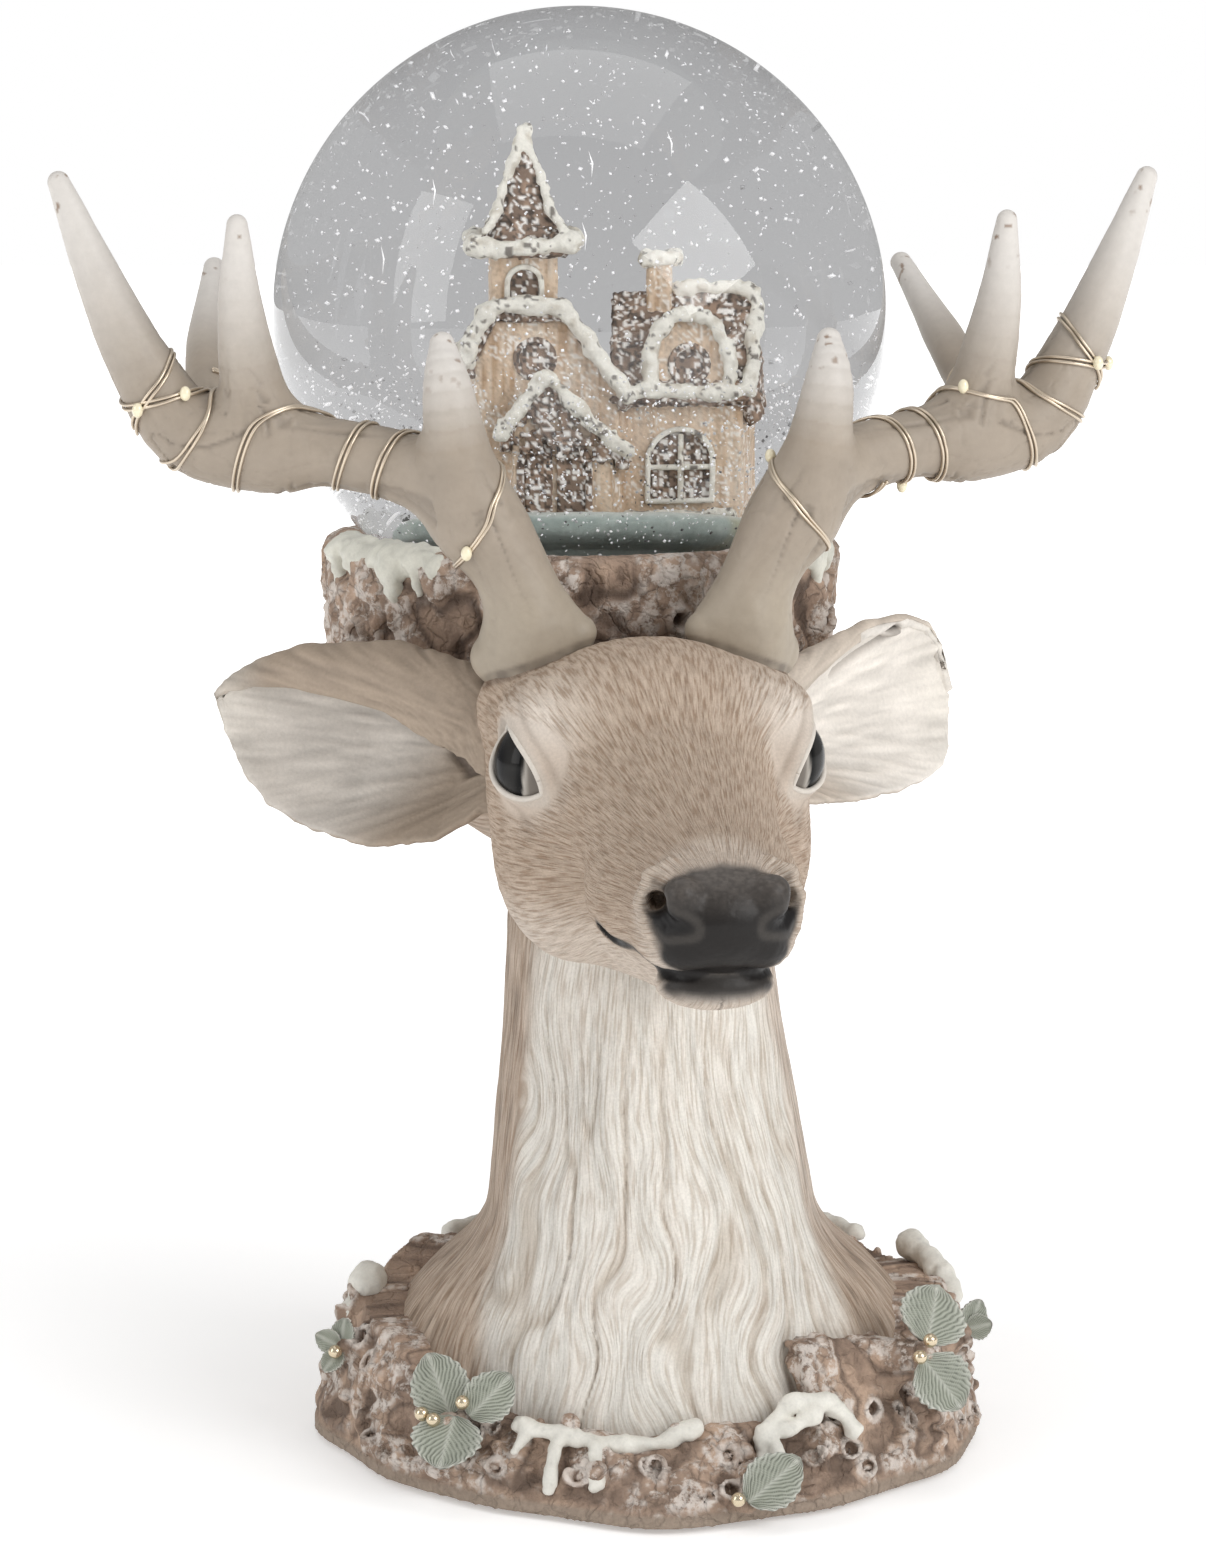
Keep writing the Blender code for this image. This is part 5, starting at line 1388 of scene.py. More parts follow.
def glitter():
    """Flakes all through the water, paler high up, and a few long streaks."""
    rng = np.random.default_rng(7)
    places = np.vstack((ball_places(rng, 4200), ball_places(rng, 3200, 30, 46.8)))
    sizes = rng.uniform(0.12, 0.33, len(places))
    points, faces = flakes(places, sizes, rng)
    low = smooth(places[:, 2], 168, 155)
    pick = rng.random(len(places))
    grey = np.where(pick < 0.86, 0.42 + 0.2 * (1 - low), 0.40 - 0.34 * low)
    grey = np.where(pick < 0.70 - 0.16 * low, 0.92, grey)
    colour = np.repeat(grey[:, None] * (1.0, 1.0, 1.02), 6, axis=0)
    mat = glowing_glitter_material()
    mesh_object("glitter", points, faces, mat, colour=colour, slot="led_drop")
    bend = np.array(((0, 0, 0), (0.15, 0.1, 2.2), (-0.4, 0, 4.2)))
    points, faces = merged([tube(CENTRE + s + bend, (0.02, 0.16, 0.02), 6) for s in STREAKS])
    white = np.full((len(points), 3), 0.95)
    mesh_object("glitter_streaks", points, faces, mat, colour=white, slot="led_drop")


ICE = (0.36, 0.43, 0.40)
ICE_PALE = (0.46, 0.52, 0.48)
MOSS = (0.45, 0.41, 0.22)
ICE_TOP = (0.60, 0.62, 0.58)


def ground():
    """The icy disc with a snowy top, on its post."""
    post = ((0.5, 131.6), (17.8, 131.6), (18, 132), (18, 142.5), (19, 143.5), (21.8, 144.0))
    rim = ((23.4, 145.2), (23.8, 146.5), (23.6, 147.8), (22.6, 148.8), (20, 149.1), (12, 149.3), (0.5, 149.3))
    points, faces = turned(spline(post + rim, 6), 220)
    out = outward(points, faces)
    lump = layered(points / 4.0, 95, 3)
    edge = smooth(np.hypot(*(points - CENTRE)[:, :2].T), 19, 23)
    moved = points + out * ((0.35 * lump - 0.1) * edge)[:, None]
    colour = mix(ICE, ICE_PALE, smooth(lump, -0.2, 0.7))
    moss = smooth(noise(points / 7.0, 96), 0.25, 0.6) * smooth(points[:, 0] - CENTRE[0], 4, 14)
    colour = mix(colour, MOSS, moss * 0.7)
    top = smooth(points[:, 2], 147.6, 148.9)
    colour = mix(colour, ICE_TOP, top * 0.8)
    mat = painted("ice_paint", 0.35, 900, 0.15, 0.35)
    mesh_object("ice_ground", moved, faces, mat, colour=colour, node="scene_ground", slot="ground_resin")


# --- house ----------------------------------------------------------------------------------------
WALL_TAN = (0.70, 0.55, 0.41)
ROOF = (0.215, 0.15, 0.11)
WALL_DARK = (0.50, 0.33, 0.20)
WALL_PALE = (0.74, 0.66, 0.56)
WALL_GLITTER = (0.9, 0.88, 0.84)
WALL_SPECK = (0.30, 0.20, 0.13)
ROOF_WORN = (0.36, 0.25, 0.18)
ROOF_GLITTER = (0.92, 0.90, 0.87)
ROOF_SPECK = (0.045, 0.035, 0.03)
HOUSE_SNOW = (0.80, 0.78, 0.71)
SNOW_DULL = (0.62, 0.58, 0.50)
SNOW_SPECK = (0.12, 0.10, 0.085)
TOWER_X = -6.9
ROSE = (-5.6, 20.6)  # the nave's round window: x, height
PORTHOLE = (13.8, 19.9)  # the dormer's


def boxed(away):
    """The distance to a box from how far each point is past its faces along three axes."""
    return norm(np.maximum(away, 0)) + np.minimum(away.max(1), 0)


def slab(p, low, high, soft=0.15):
    """A box from its lowest to its highest corner."""
    low, high = np.array(low, float) + soft, np.array(high, float) - soft
    return boxed(np.abs(p - (low + high) / 2) - (high - low) / 2) - soft


def gable(p, outline, front, back):
    """A solid whose convex outline in (x, z), anticlockwise, runs from front to back along y."""
    outline = np.array(outline, float)
    field = np.maximum(front - p[:, 1], p[:, 1] - back)
    for a, b in zip(outline, np.roll(outline, -1, 0)):
        edge = unit(b - a)
        field = np.maximum(field, (p[:, 0] - a[0]) * edge[1] - (p[:, 2] - a[1]) * edge[0])
    return field


def arch(p, x, low, half, spring, front, back):
    """An arched opening: straight up to spring, then round."""
    q = np.abs(p[:, 0] - x)
    top = np.hypot(q, np.maximum(p[:, 2] - spring, 0)) - half
    field = np.maximum(top, low - p[:, 2])
    return np.maximum(field, np.maximum(front - p[:, 1], p[:, 1] - back))


NAVE = ((-13.2, -0.5), (4.9, -0.5), (4.9, 16.4), (-1.9, 25.4), (-10.6, 25.4), (-13.2, 20))
NAVE_ROOF = ((-14.9, 18.6), (5.9, 14.2), (6.4, 16.0), (-1.4, 26.6), (-11.2, 26.6), (-15.0, 20.4))
PORCH = ((-8.6, -0.5), (4.4, -0.5), (4.4, 9.4), (-2.9, 17.2), (-5.4, 17.2), (-8.6, 11.6))
PORCH_ROOF = ((-10, 9), (6.2, 6.5), (6.2, 8.6), (-3.9, 18.9), (-10, 11.8))
PORCH_HOLLOW = ((-8.9, -1), (4.6, -1), (4.6, 8.6), (-3.9, 16.8), (-8.9, 11))
SPIRE = ((5.2, 33.2), (6.3, 34.0), (5.3, 35.6), (4.1, 37.4), (3.1, 39.4), (2.3, 42), (1.4, 45), (0.7, 47.6))


OPENINGS = (  # middle, sill, half width, where the arch springs, front, back
    (-3.2, 0.3, 4.0, 6.6, -20, -8.7),
    (12.7, 2.7, 3.9, 7.6, -20, -2.6),
    (TOWER_X, 27.2, 1.9, 29.9, -20, -2.6),
)


def round_window(q, x, z):
    """How far from the axis of a round window."""
    return np.hypot(q[:, 0] - x, q[:, 2] - z)


def walls_field(q):
    """Nave, wing, porch, tower, chimney and dormer in boards, with their openings sunk in."""
    wood = 0.13 * noise(q * (1.6, 1.6, 0.16), 101) + 0.07 * noise(q * (3.2, 3.2, 0.4), 102)
    f = gable(q, NAVE, -5, 9)
    f = np.minimum(f, slab(q, (4, -3.2, -0.5), (20.4, 9, 15.6)))
    f = np.minimum(f, gable(q, PORCH, -9.4, -4))
    f = np.minimum(f, slab(q, (TOWER_X - 4.1, -3.2, 17), (TOWER_X + 4.1, 5.2, 33.8)))
    f = np.minimum(f, slab(q, (8.2, 1.2, 18), (11.2, 4.6, 32.4), 0.3))
    dormer = np.maximum(arch(q, 13.9, 14.5, 4.9, 20.6, -3.9, 5), 14.5 - q[:, 2])
    f = np.minimum(f, dormer) + wood
    for opening in OPENINGS:
        f = np.maximum(f, -arch(q, *opening))
    f = np.maximum(f, -np.maximum(round_window(q, *ROSE) - 2.2, q[:, 1] + 4.4))
    return np.maximum(f, -np.maximum(round_window(q, *PORTHOLE) - 2.0, q[:, 1] + 3.3))


def trims_field(q):
    """Door, window frames and bars."""
    door = arch(q, -3.2, 0.2, 3.9, 6.6, -9.2, -8.4)
    f = np.maximum(door, 0.28 - np.abs(q[:, 0] + 3.2)) + 0.1 * noise(q * (2.2, 1, 2.2), 103)
    frame = np.maximum(arch(q, -3.2, 0.1, 4.9, 6.6, -9.8, -9), -arch(q, -3.2, -1, 4.0, 6.6, -20, 0))
    f = np.minimum(f, frame)
    pane = arch(q, 12.7, 2.7, 4.0, 7.6, -3.0, -2.4)
    f = np.minimum(f, pane + 0.08 * noise(q * 3, 104))
    ring = np.hypot(round_window(q, *PORTHOLE) - 2.3, q[:, 1] + 3.9) - 0.45
    hoop = np.hypot(round_window(q, *ROSE) - 2.4, q[:, 1] + 5.0) - 0.4
    disc = np.maximum(round_window(q, *PORTHOLE) - 2.1, np.abs(q[:, 1] + 3.3) - 0.3)
    pale = np.maximum(round_window(q, *ROSE) - 2.3, np.abs(q[:, 1] + 4.4) - 0.3)
    slit = arch(q, TOWER_X, 27.0, 2.0, 29.9, -2.9, -2.4)
    return np.minimum.reduce((f, ring, hoop, disc, pale, slit))


def bars_field(q):
    """The window's snowy bars."""
    f = slab(q, (12.35, -3.7, 2.9), (13.05, -2.8, 11.2), 0.2)
    f = np.minimum(f, slab(q, (8.9, -3.7, 6.6), (16.5, -2.8, 7.3), 0.2))
    rim = np.maximum(arch(q, 12.7, 2.2, 4.5, 7.6, -3.9, -3.1), -arch(q, 12.7, 2.9, 3.8, 7.6, -20, 0))
    slit = arch(q, TOWER_X, 26.8, 2.5, 29.9, -3.7, -3.1)
    slit = np.maximum(slit, -arch(q, TOWER_X, 27.4, 1.8, 29.9, -20, 0))
    return np.minimum.reduce((f, rim, slit))


def roofs_field(q):
    """Roofs of nave, wing and porch, the spire, and a bush at the corner."""
    rough = 0.28 * noise(q * 1.1, 105) + 0.16 * noise(q * 2.4, 106)
    f = np.maximum(gable(q, NAVE_ROOF, -5.9, 9.8), -gable(q, NAVE, -20, 8))
    under = slab(q, (3.8, -4.6, 14.6), (21.6, 10.2, 16.2), 0.3)
    slopes = np.abs(q[:, 1] - 3) + 0.62 * (q[:, 2] - 28) - 0.7
    shed = np.maximum(slab(q, (4, -12, 15.2), (21.4, 18, 28.4), 0.2), slopes)
    f = np.minimum(f, np.minimum(under, shed))
    porch = np.maximum(gable(q, PORCH_ROOF, -10.3, -4), -gable(q, PORCH_HOLLOW, -9.9, -3))
    f = np.minimum(f, porch)
    out = np.maximum(np.abs(q[:, 0] - TOWER_X), np.abs(q[:, 1] - 1))
    out = 0.55 * out + 0.45 * np.hypot(q[:, 0] - TOWER_X, q[:, 1] - 1)
    wide = np.interp(q[:, 2], [s[1] for s in SPIRE], [s[0] for s in SPIRE])
    spire = np.maximum((out - wide) * 0.8, np.maximum(33.2 - q[:, 2], q[:, 2] - 48))
    bush = norm((q - (21.6, -1, 14.4)) / (1, 1, 1.5)) - 1.5
    return np.minimum.reduce((f, spire, bush)) + rough


SNOWY = (  # lines of snow: radius, then points
    (1.0, (-10.3, -10.6, 10.9), (-7.4, -10.6, 14.8), (-4.2, -10.6, 18.4))
    + ((-1.2, -10.6, 15.2), (2.2, -10.6, 12), (6.0, -10.6, 8.9)),
    (1.15, (-14.6, -6.0, 21.0), (-12.6, -6.0, 25.2), (-10.8, -6.0, 27.1))
    + ((-6.2, -6.2, 27.4), (-2.0, -6.2, 27.0)),
    (1.05, (-2.0, -6.2, 27.0), (0.6, -6.2, 23.6), (3.4, -6.2, 19.6), (6.2, -6.2, 16.2)),
    (1.5, (-14.8, -5.4, 20.4), (-14.6, -1, 20.8), (-14.4, 5, 20.6)),
    (1.0, (5.4, -4.9, 16.2), (10, -5.0, 16.7), (15, -5.0, 16.3), (20.6, -5.0, 16.5)),
    (0.95, (8.8, -4.6, 17.5), (8.9, -4.6, 21.5), (10.4, -4.6, 24.6), (13.2, -4.6, 26.3))
    + ((16.6, -4.6, 25.2), (18.8, -4.6, 21.6), (19.2, -4.4, 18)),
    (0.95, (21.6, -4.8, 16.4), (21.7, -2.2, 20.5), (21.6, 0.4, 24.6))
    + ((21.2, 2.6, 28.4), (17, 3, 29.0), (12, 3, 28.8)),
    (1.1, (-12.9, -4.6, 34.8), (-9.1, -5.2, 34.4), (-4.9, -5.2, 34.9), (-0.9, -4.6, 35.2)),
    (1.2, (-13.1, -4.6, 34.6), (-12.9, 1, 35.0), (-12.7, 6, 34.8)),
    (1.2, (-0.9, -4.6, 35.4), (-0.9, 1, 35.0), (-1.1, 6, 34.8)),
    (0.6, (-11.9, -4.0, 36.4), (-10.3, -2.6, 39.2), (-9.3, -1.2, 42.4), (-7.5, 0.2, 47.0)),
    (0.6, (-1.9, -4.0, 36.6), (-3.7, -2.4, 39.6), (-4.7, -1.0, 42.8), (-6.4, 0.2, 47.0)),
    (1.0, (-7.3, 0.8, 46.6), (-6.8, 1, 48.6)),
    (0.9, (8.2, 1.4, 32.4), (11.2, 1.4, 32.6), (11.2, 4.4, 32.6), (8.2, 4.4, 32.4)),
    (0.9, (19.6, -5.2, 0.4), (12, -5.6, 0.2), (6, -6, 0.2)),
)


def house_snow_field(q):
    return strings(q, SNOWY, 0.6, 0.15, 4.0) + 0.3 * noise(q * 0.75, 107) + 0.2 * noise(q * 1.7, 108)


def house_place(q):
    """From the chapel's own frame to the base's."""
    return q + (CENTRE[0], CENTRE[1], GROUND + 0.3)


def speckle(points, seed, cell=0.34):
    """Where white and dark grains like glitter are stuck on."""
    grain = lattice(np.floor(points / cell).astype(np.int64), seed)
    return grain > 0.52, grain < -0.55


def house_piece(name, field, low, high, step, paint, mat, **more):
    """Meshes and paints one part of the chapel."""
    points, quads = surface_net(field, low, high, step, 1.8)
    points = settled(field, points)
    mesh_object(name, house_place(points), quads, mat, colour=paint(points), slot="house_resin", **more)


def wall_paint(q):
    """Tan boards with dark and pale grain, dusted with glitter."""
    grain = noise(q * (2.4, 2.4, 0.22), 111)
    colour = mix(WALL_TAN, WALL_DARK, smooth(grain, 0.15, 0.7) * 0.8)
    colour = mix(colour, WALL_PALE, smooth(grain, -0.2, -0.8) * 0.6)
    light, dark = speckle(q, 112)
    colour = mix(colour, WALL_GLITTER, light * (noise(q * 0.5, 113) > -0.1) * 0.75)
    return mix(colour, WALL_SPECK, dark * 0.35)


def roof_paint(q):
    """Dark brown, crusted with white grains."""
    colour = mix(ROOF, ROOF_WORN, smooth(noise(q * 0.9, 114), -0.2, 0.7))
    light, dark = speckle(q, 115, 0.42)
    colour = mix(colour, ROOF_GLITTER, light * 0.9)
    return mix(colour, ROOF_SPECK, dark * 0.8)


def snow_paint_house(q):
    """Off-white with a few dark grains."""
    dark = speckle(q, 116, 0.6)[1]
    colour = mix(HOUSE_SNOW, SNOW_DULL, smooth(noise(q * 1.1, 117), 0.1, 0.8))
    return mix(colour, SNOW_SPECK, (dark & (noise(q * 0.9, 118) > 0.15)) * 0.85)


def house():
    mat = painted("house_paint", 0.6, 2600, 0.1, 0.25)
    low, high = (-16.5, -12.5, -0.8), (23.6, 11.6, 35.5)
    house_piece("house_walls", walls_field, low, high, 0.32, wall_paint, mat, node="scene_house")
    house_piece("house_trims", trims_field, (-9, -10.6, -0.4), (18, -1.5, 33), 0.26, roof_paint, mat)
    house_piece("house_bars", bars_field, (-10, -4.6, 1.4), (18, -2, 33.5), 0.26, snow_paint_house, mat)
    house_piece("house_roofs", roofs_field, (-17, -12, 5), (24.5, 12.4, 50), 0.36, roof_paint, mat)
    house_piece("house_snow", house_snow_field, (-18, -13, -2), (25, 9, 51), 0.34, snow_paint_house, mat)


# --- bark ring, snow, leaves and berries ----------------------------------------------------------
RIM = (0.33, 0.26, 0.205)
# painted shade for the ring's inner side and the curls' hollows
BARK_HOLLOW_SHADE = (0.15, 0.105, 0.08)
BASE_SNOW_TINT = (0.74, 0.72, 0.655)


def ring_turn(p):
    """Degrees round the base: 0 in front, + to +X."""
    return np.degrees(np.arctan2(p[:, 0], -p[:, 1]))


def ring_height(turn):
    """How high the bark stands, which is lowest in front."""
    front = np.clip(np.cos(np.radians(turn)), 0, 1) ** 1.5
    bumps = 1.0 * np.sin(np.radians(5 * turn + 40)) + 0.7 * np.sin(np.radians(11 * turn))
    return 22.4 - 10.8 * front + bumps * (1 - 0.6 * front)


def ring_radius(turn):
    """The foot's radius, with a blunt point in front."""
    a = np.radians(turn)
    point = 3.6 * np.exp(-((wrapped(turn, -3) / 14) ** 2))
    return 52.7 + 0.9 * np.sin(3 * a + 0.6) + 0.6 * np.sin(7 * a) + 0.45 * np.sin(13 * a + 1) + point


def ring_out(turn, z):
    """The bark's outer radius at a height: a foot that spreads below a leaning wall."""
    high = ring_height(turn)
    share = np.clip((z - 2) / (high - 2), 0, 1.2)
    foot = ring_radius(turn)
    return foot - (foot - 46.4) * share**1.35


def make_debris():
    """Curls and splinters of bark all round: kind, centre, axis, size."""
    rng = np.random.default_rng(12)
    found = []
    for number in range(340):
        turn = (number * 137.508) % 360 - 180 + rng.uniform(-4, 4)
        z = 3.4 + rng.random() * (ring_height(np.array(turn)) - 4.4)
        r = float(ring_out(np.array(turn), np.array(z)))
        a = math.radians(turn)
        out = np.array((math.sin(a), -math.cos(a), 0.0))
        centre = out * (r - 0.4) + (0, 0, z)
        lean = rng.normal(size=3) * 0.3
        kind = "curl" if number % 5 in (0, 2) and rng.random() < 0.66 else "splinter"
        if kind == "curl":
            axis = out * 0.8 + (0, 0, 0.45) + lean
            size = rng.uniform(0.9, 2.2)
        else:
            round_it = np.array((math.cos(a), math.sin(a), 0.0))
            axis = round_it * rng.choice((-1, 1)) + np.array((0, 0, rng.normal() * 0.8)) + lean
            size = rng.uniform(0.7, 1.5)
        found.append((kind, centre, unit(axis), size))
    return found


DEBRIS = make_debris()


def curl(q, axis, size):
    """A rolled chip: a short pipe with a core."""
    along, far = about(q, axis)
    wall = np.abs(far - size * 0.78) - size * 0.22
    core = far - size * 0.26
    length = np.abs(along) - size * 0.75
    return np.minimum(np.maximum(wall, length), np.maximum(core, length + size * 0.25))


SPRIG_FEET = (  # lumps of bark that the sprigs are glued to: from, to, radius
    ((-27.5, -37.5, 11.0), (-31.0, -43.0, 12.0), 4.0),
    ((36.0, -29.5, 18.0), (40.6, -32.8, 20.0), 4.0),
    ((15.5, -48.5, 5.0), (17.0, -51.6, 5.6), 3.6),
    ((13.0, -51.0, 4.0), (13.6, -54.4, 4.0), 2.9),
    ((46.0, -11.4, 17.0), (48.8, -11.4, 18.0), 3.0),
    ((-46.5, -14.0, 15.5), (-48.8, -13.9, 16.2), 2.7),
)


def with_debris(f, p):
    """Field f with the sprigs' lumps, curls and splinters joined on."""
    bins = Bins(p)
    for start, end, wide in SPRIG_FEET:
        start, end = np.array(start), np.array(end)
        near = bins.inside(np.minimum(start, end) - 7, np.maximum(start, end) + 7)
        if len(near):
            f[near] = joined(f[near], limb(p[near], start, end, wide, wide * 0.6), 1.5)
    for kind, centre, axis, size in DEBRIS:
        reach = 5.0 if kind == "curl" else 6.5
        near = bins.inside(centre - reach, centre + reach)
        if not len(near):
            continue
        q = p[near] - centre
        if kind == "curl":
            along, far = about(q, axis)
            pit = np.maximum(far - size * 0.6, 0.08 * size - along)
            chip = curl(q, axis, size)
            f[near] = np.maximum(joined(f[near], chip, 0.3), -np.maximum(pit, -chip))
        else:
            splinter = limb(q, -axis * size * 2.4, axis * size * 2.2, size * 0.9, size * 0.55)
            f[near] = joined(f[near], splinter, 0.5)
    return f


SLAB_TURN = 40.0


def bark_slab(p):
    """A slab of bark that leans on the right shoulder."""
    a = math.radians(SLAB_TURN)
    out, round_it = np.array((math.sin(a), -math.cos(a), 0)), np.array((math.cos(a), math.sin(a), 0))
    q = p - (out * 46.4 + (0, 0, 15.0))
    high = q[:, 2] + 0.14 * (q @ round_it)
    lean = q @ out + 0.42 * q[:, 2]
    away = np.stack((np.abs(q @ round_it) - 8.4, np.abs(lean) - 1.5, np.abs(high) - 7.6), 1)
    return 0.85 * (boxed(away) - 0.6) + 0.7 * noise(p * 0.35, 122) + 0.35 * noise(p * 0.9, 123)


def ring_field(p):
    """The ring of bark round the chest, hollow inside and flat below."""
    turn, far = ring_turn(p), np.hypot(p[:, 0], p[:, 1])
    rough = 0.7 * noise(p * 0.22, 121)
    wall = (far - ring_out(turn, p[:, 2]) + rough * smooth(p[:, 2], 2.5, 5)) * 0.8
    f = np.maximum(wall, (p[:, 2] - ring_height(turn) + rough) * 0.85)
    f = joined(f, bark_slab(p), 0.8)
    f = with_debris(f, p)
    rim = np.maximum(far - ring_radius(turn) - 0.2, p[:, 2] - 2.4)
    f = joined(f, rim, 0.5)
    hidden = np.where(p[:, 2] < 4.4, 43.2 - far, 39.5 - far)
    f = np.maximum(f, np.where(p[:, 2] < 10.4, hidden, -(neck_field(p) + 0.9)))
    return np.maximum(f, 0.6 - p[:, 2])


def debris_marks(p):
    """How deep in a curl's hollow, and how near its edge, each point is."""
    dark, edge = np.zeros((2, len(p)))
    bins = Bins(p)
    for kind, centre, axis, size in DEBRIS:
        if kind != "curl":
            continue
        near = bins.inside(centre - 4, centre + 4)
        along, far = about(p[near] - centre, axis)
        far = far / size
        hollow = smooth(np.abs(far - 0.43), 0.2, 0.06) * smooth(along, -0.4 * size, 0.1 * size)
        dark[near] = np.maximum(dark[near], hollow)
        high = smooth(along, 0.35 * size, 0.7 * size) * smooth(far, 1.2, 0.95)
        edge[near] = np.maximum(edge[near], high * (1 - hollow))
    return dark, edge


def bark_ring(mat):
    """The ring's mesh and paint."""
    points, quads = surface_net(ring_field, (-60, -61, 0), (60, 60, 27.5), 0.5, 1.6)
    points = settled(ring_field, points)
    out = outward(points, (quads,))
    turn = ring_turn(points)
    circle = np.stack((np.sin(np.radians(turn)), np.cos(np.radians(turn))), 1) * 48
    relief, crack, _ = bark_relief(circle, points[:, 2] * 1.5, 131)
    dark, edge = debris_marks(points)
    free = smooth(points[:, 2], 2.4, 4) * (1 - np.maximum(dark, edge))
    moved = points + out * (0.30 * relief * free)[:, None]
    colour = bark_paint(points * 1.25, relief * 1.1, crack * free * 0.8, 134)
    colour = mix(colour, DUSTED, edge * (0.6 + 0.3 * noise(points * 0.3, 135)))
    # Painted shade: darker inside the ring below its top, where it hugs the chest, and in the curls' hollows.
    face = ring_out(turn, points[:, 2])
    deep = smooth(np.hypot(points[:, 0], points[:, 1]), face - 1.2, face - 3.2)
    deep = deep * smooth(points[:, 2], ring_height(turn) - 1, ring_height(turn) - 2.5)
    colour = mix(colour, BARK_HOLLOW_SHADE, np.clip(dark * 0.6 + deep * 0.4, 0, 1))
    colour = mix(colour, RIM, smooth(points[:, 2], 2.9, 2.3))
    proud = np.clip(smooth(relief, -0.6, 0.7) * free + edge, 0, 1) * smooth(points[:, 2], 2.4, 3.2)
    more = {"layers": {"proud": proud * (1 - deep)}, "node": "bark_base", "slot": "bark_resin"}
    mesh_object("bark_ring", moved, quads, mat, colour=colour, **more)


BASE_SNOW = (  # radius, then points: the drift at the chest's foot, its drips, the hump and the rest
    (1.35, (-20.6, -43.4, 12.6), (-17, -45.4, 12.3), (-12, -46.8, 11.6))
    + ((-6, -47.7, 10.9), (0, -47.9, 11.0), (5.8, -46.9, 13.2)),
    (1.05, (-14.8, -47.4, 11.2), (-15.6, -49.4, 8.0), (-16.2, -50.8, 5.0)),
    (1.25, (-8.8, -48.4, 10.6), (-9.0, -50.2, 8), (-9.1, -51.6, 5.8)),
    (0.9, (-19.4, -45, 11.6), (-21.4, -46.6, 9.6)),
    (1.3, (15.9, -48.2, 8.6), (16.6, -46.6, 12.4), (19.6, -44.6, 15.6))
    + ((23.6, -43.2, 16.4), (27.4, -42.2, 14.8), (29.8, -42.0, 11.4)),
    (1.3, (17.2, -46.4, 12.8), (20.4, -45.8, 13.2), (23.8, -44.6, 14.6)),
    (0.95, (17.8, -47.6, 12.0), (18.4, -49.6, 8.4)),
    (2.7, (-45.6, 1, 23.2), (-46.8, -0.6, 19.6), (-48.0, -2.4, 16.6)),
    (2.1, (42.6, 17, 24.8), (45.4, 11, 23.2), (48.4, 5, 19.4)),
    (1.6, (34, 33, 22.6), (26, 40, 23.6), (17, 45, 22.8)),
    (1.2, (21, 45.6, 22), (21.4, 48.6, 17), (21.6, 50, 13)),
    (1.7, (-12, 46, 22.6), (-24, 41, 23.2), (-33, 34, 22.4)),
    (1.2, (-24, 42.6, 22), (-25, 45.6, 16.6)),
)


def base_snow_field(p):
    return strings(p, BASE_SNOW, 0.7, 0.2) + 0.38 * noise(p * 0.5, 141) + 0.14 * noise(p * 1.3, 142)


LEAVES = (  # stem, tip, width, facing
    ((-31.0, -42.6, 13.9), (-34.6, -37.6, 22.0), 9.2, (-0.25, -0.85, 0.45)),
    ((-28.2, -44.2, 14.2), (-21.8, -43.0, 20.4), 7.6, (0.25, -0.9, 0.35)),
    ((-30.4, -44.4, 14.3), (-32.6, -49.2, 7.6), 11.4, (-0.3, -0.75, 0.6)),
    ((41.6, -32.6, 22.2), (43.6, -25.4, 29.2), 11.2, (0.35, -0.85, 0.4)),
    ((40.8, -35.6, 20.6), (46.6, -37.6, 13.4), 11.0, (0.5, -0.75, 0.45)),
    ((13.6, -56.4, 4.6), (21.4, -51.6, 9.9), 8.4, (0.2, -0.75, 0.62)),
    ((49.2, -12, 18.2), (51.6, -10.4, 23.0), 4.8, (0.5, -0.8, 0.3)),
    ((49.4, -12, 18.6), (53.4, -12.2, 19.6), 4.2, (0.3, -0.9, 0.3)),
    ((-49.2, -14, 16.4), (-48.6, -12.6, 20.6), 4.2, (-0.4, -0.85, 0.3)),
    ((-49.4, -14.4, 16.4), (-53.2, -13.2, 18.2), 3.8, (-0.5, -0.8, 0.35)),
    ((-49.2, -15, 16), (-51.8, -16.6, 13.0), 3.8, (-0.4, -0.8, 0.5)),
)
BERRIES = (
    (-29.2, -45.0, 16.6),
    (-35.4, -43.6, 14.4),
    (-33.6, -45.0, 13.9),
    (41.9, -35.8, 23.6),
    (40.2, -38.0, 21.6),
    (12.1, -57.4, 5.4),
    (-50.0, -16.4, 16.2),
)
BERRY_RADIUS = 1.1
LEAF = (0.285, 0.305, 0.245)
LEAF_WORN = (0.66, 0.66, 0.60)
GOLD = (0.72, 0.61, 0.44)


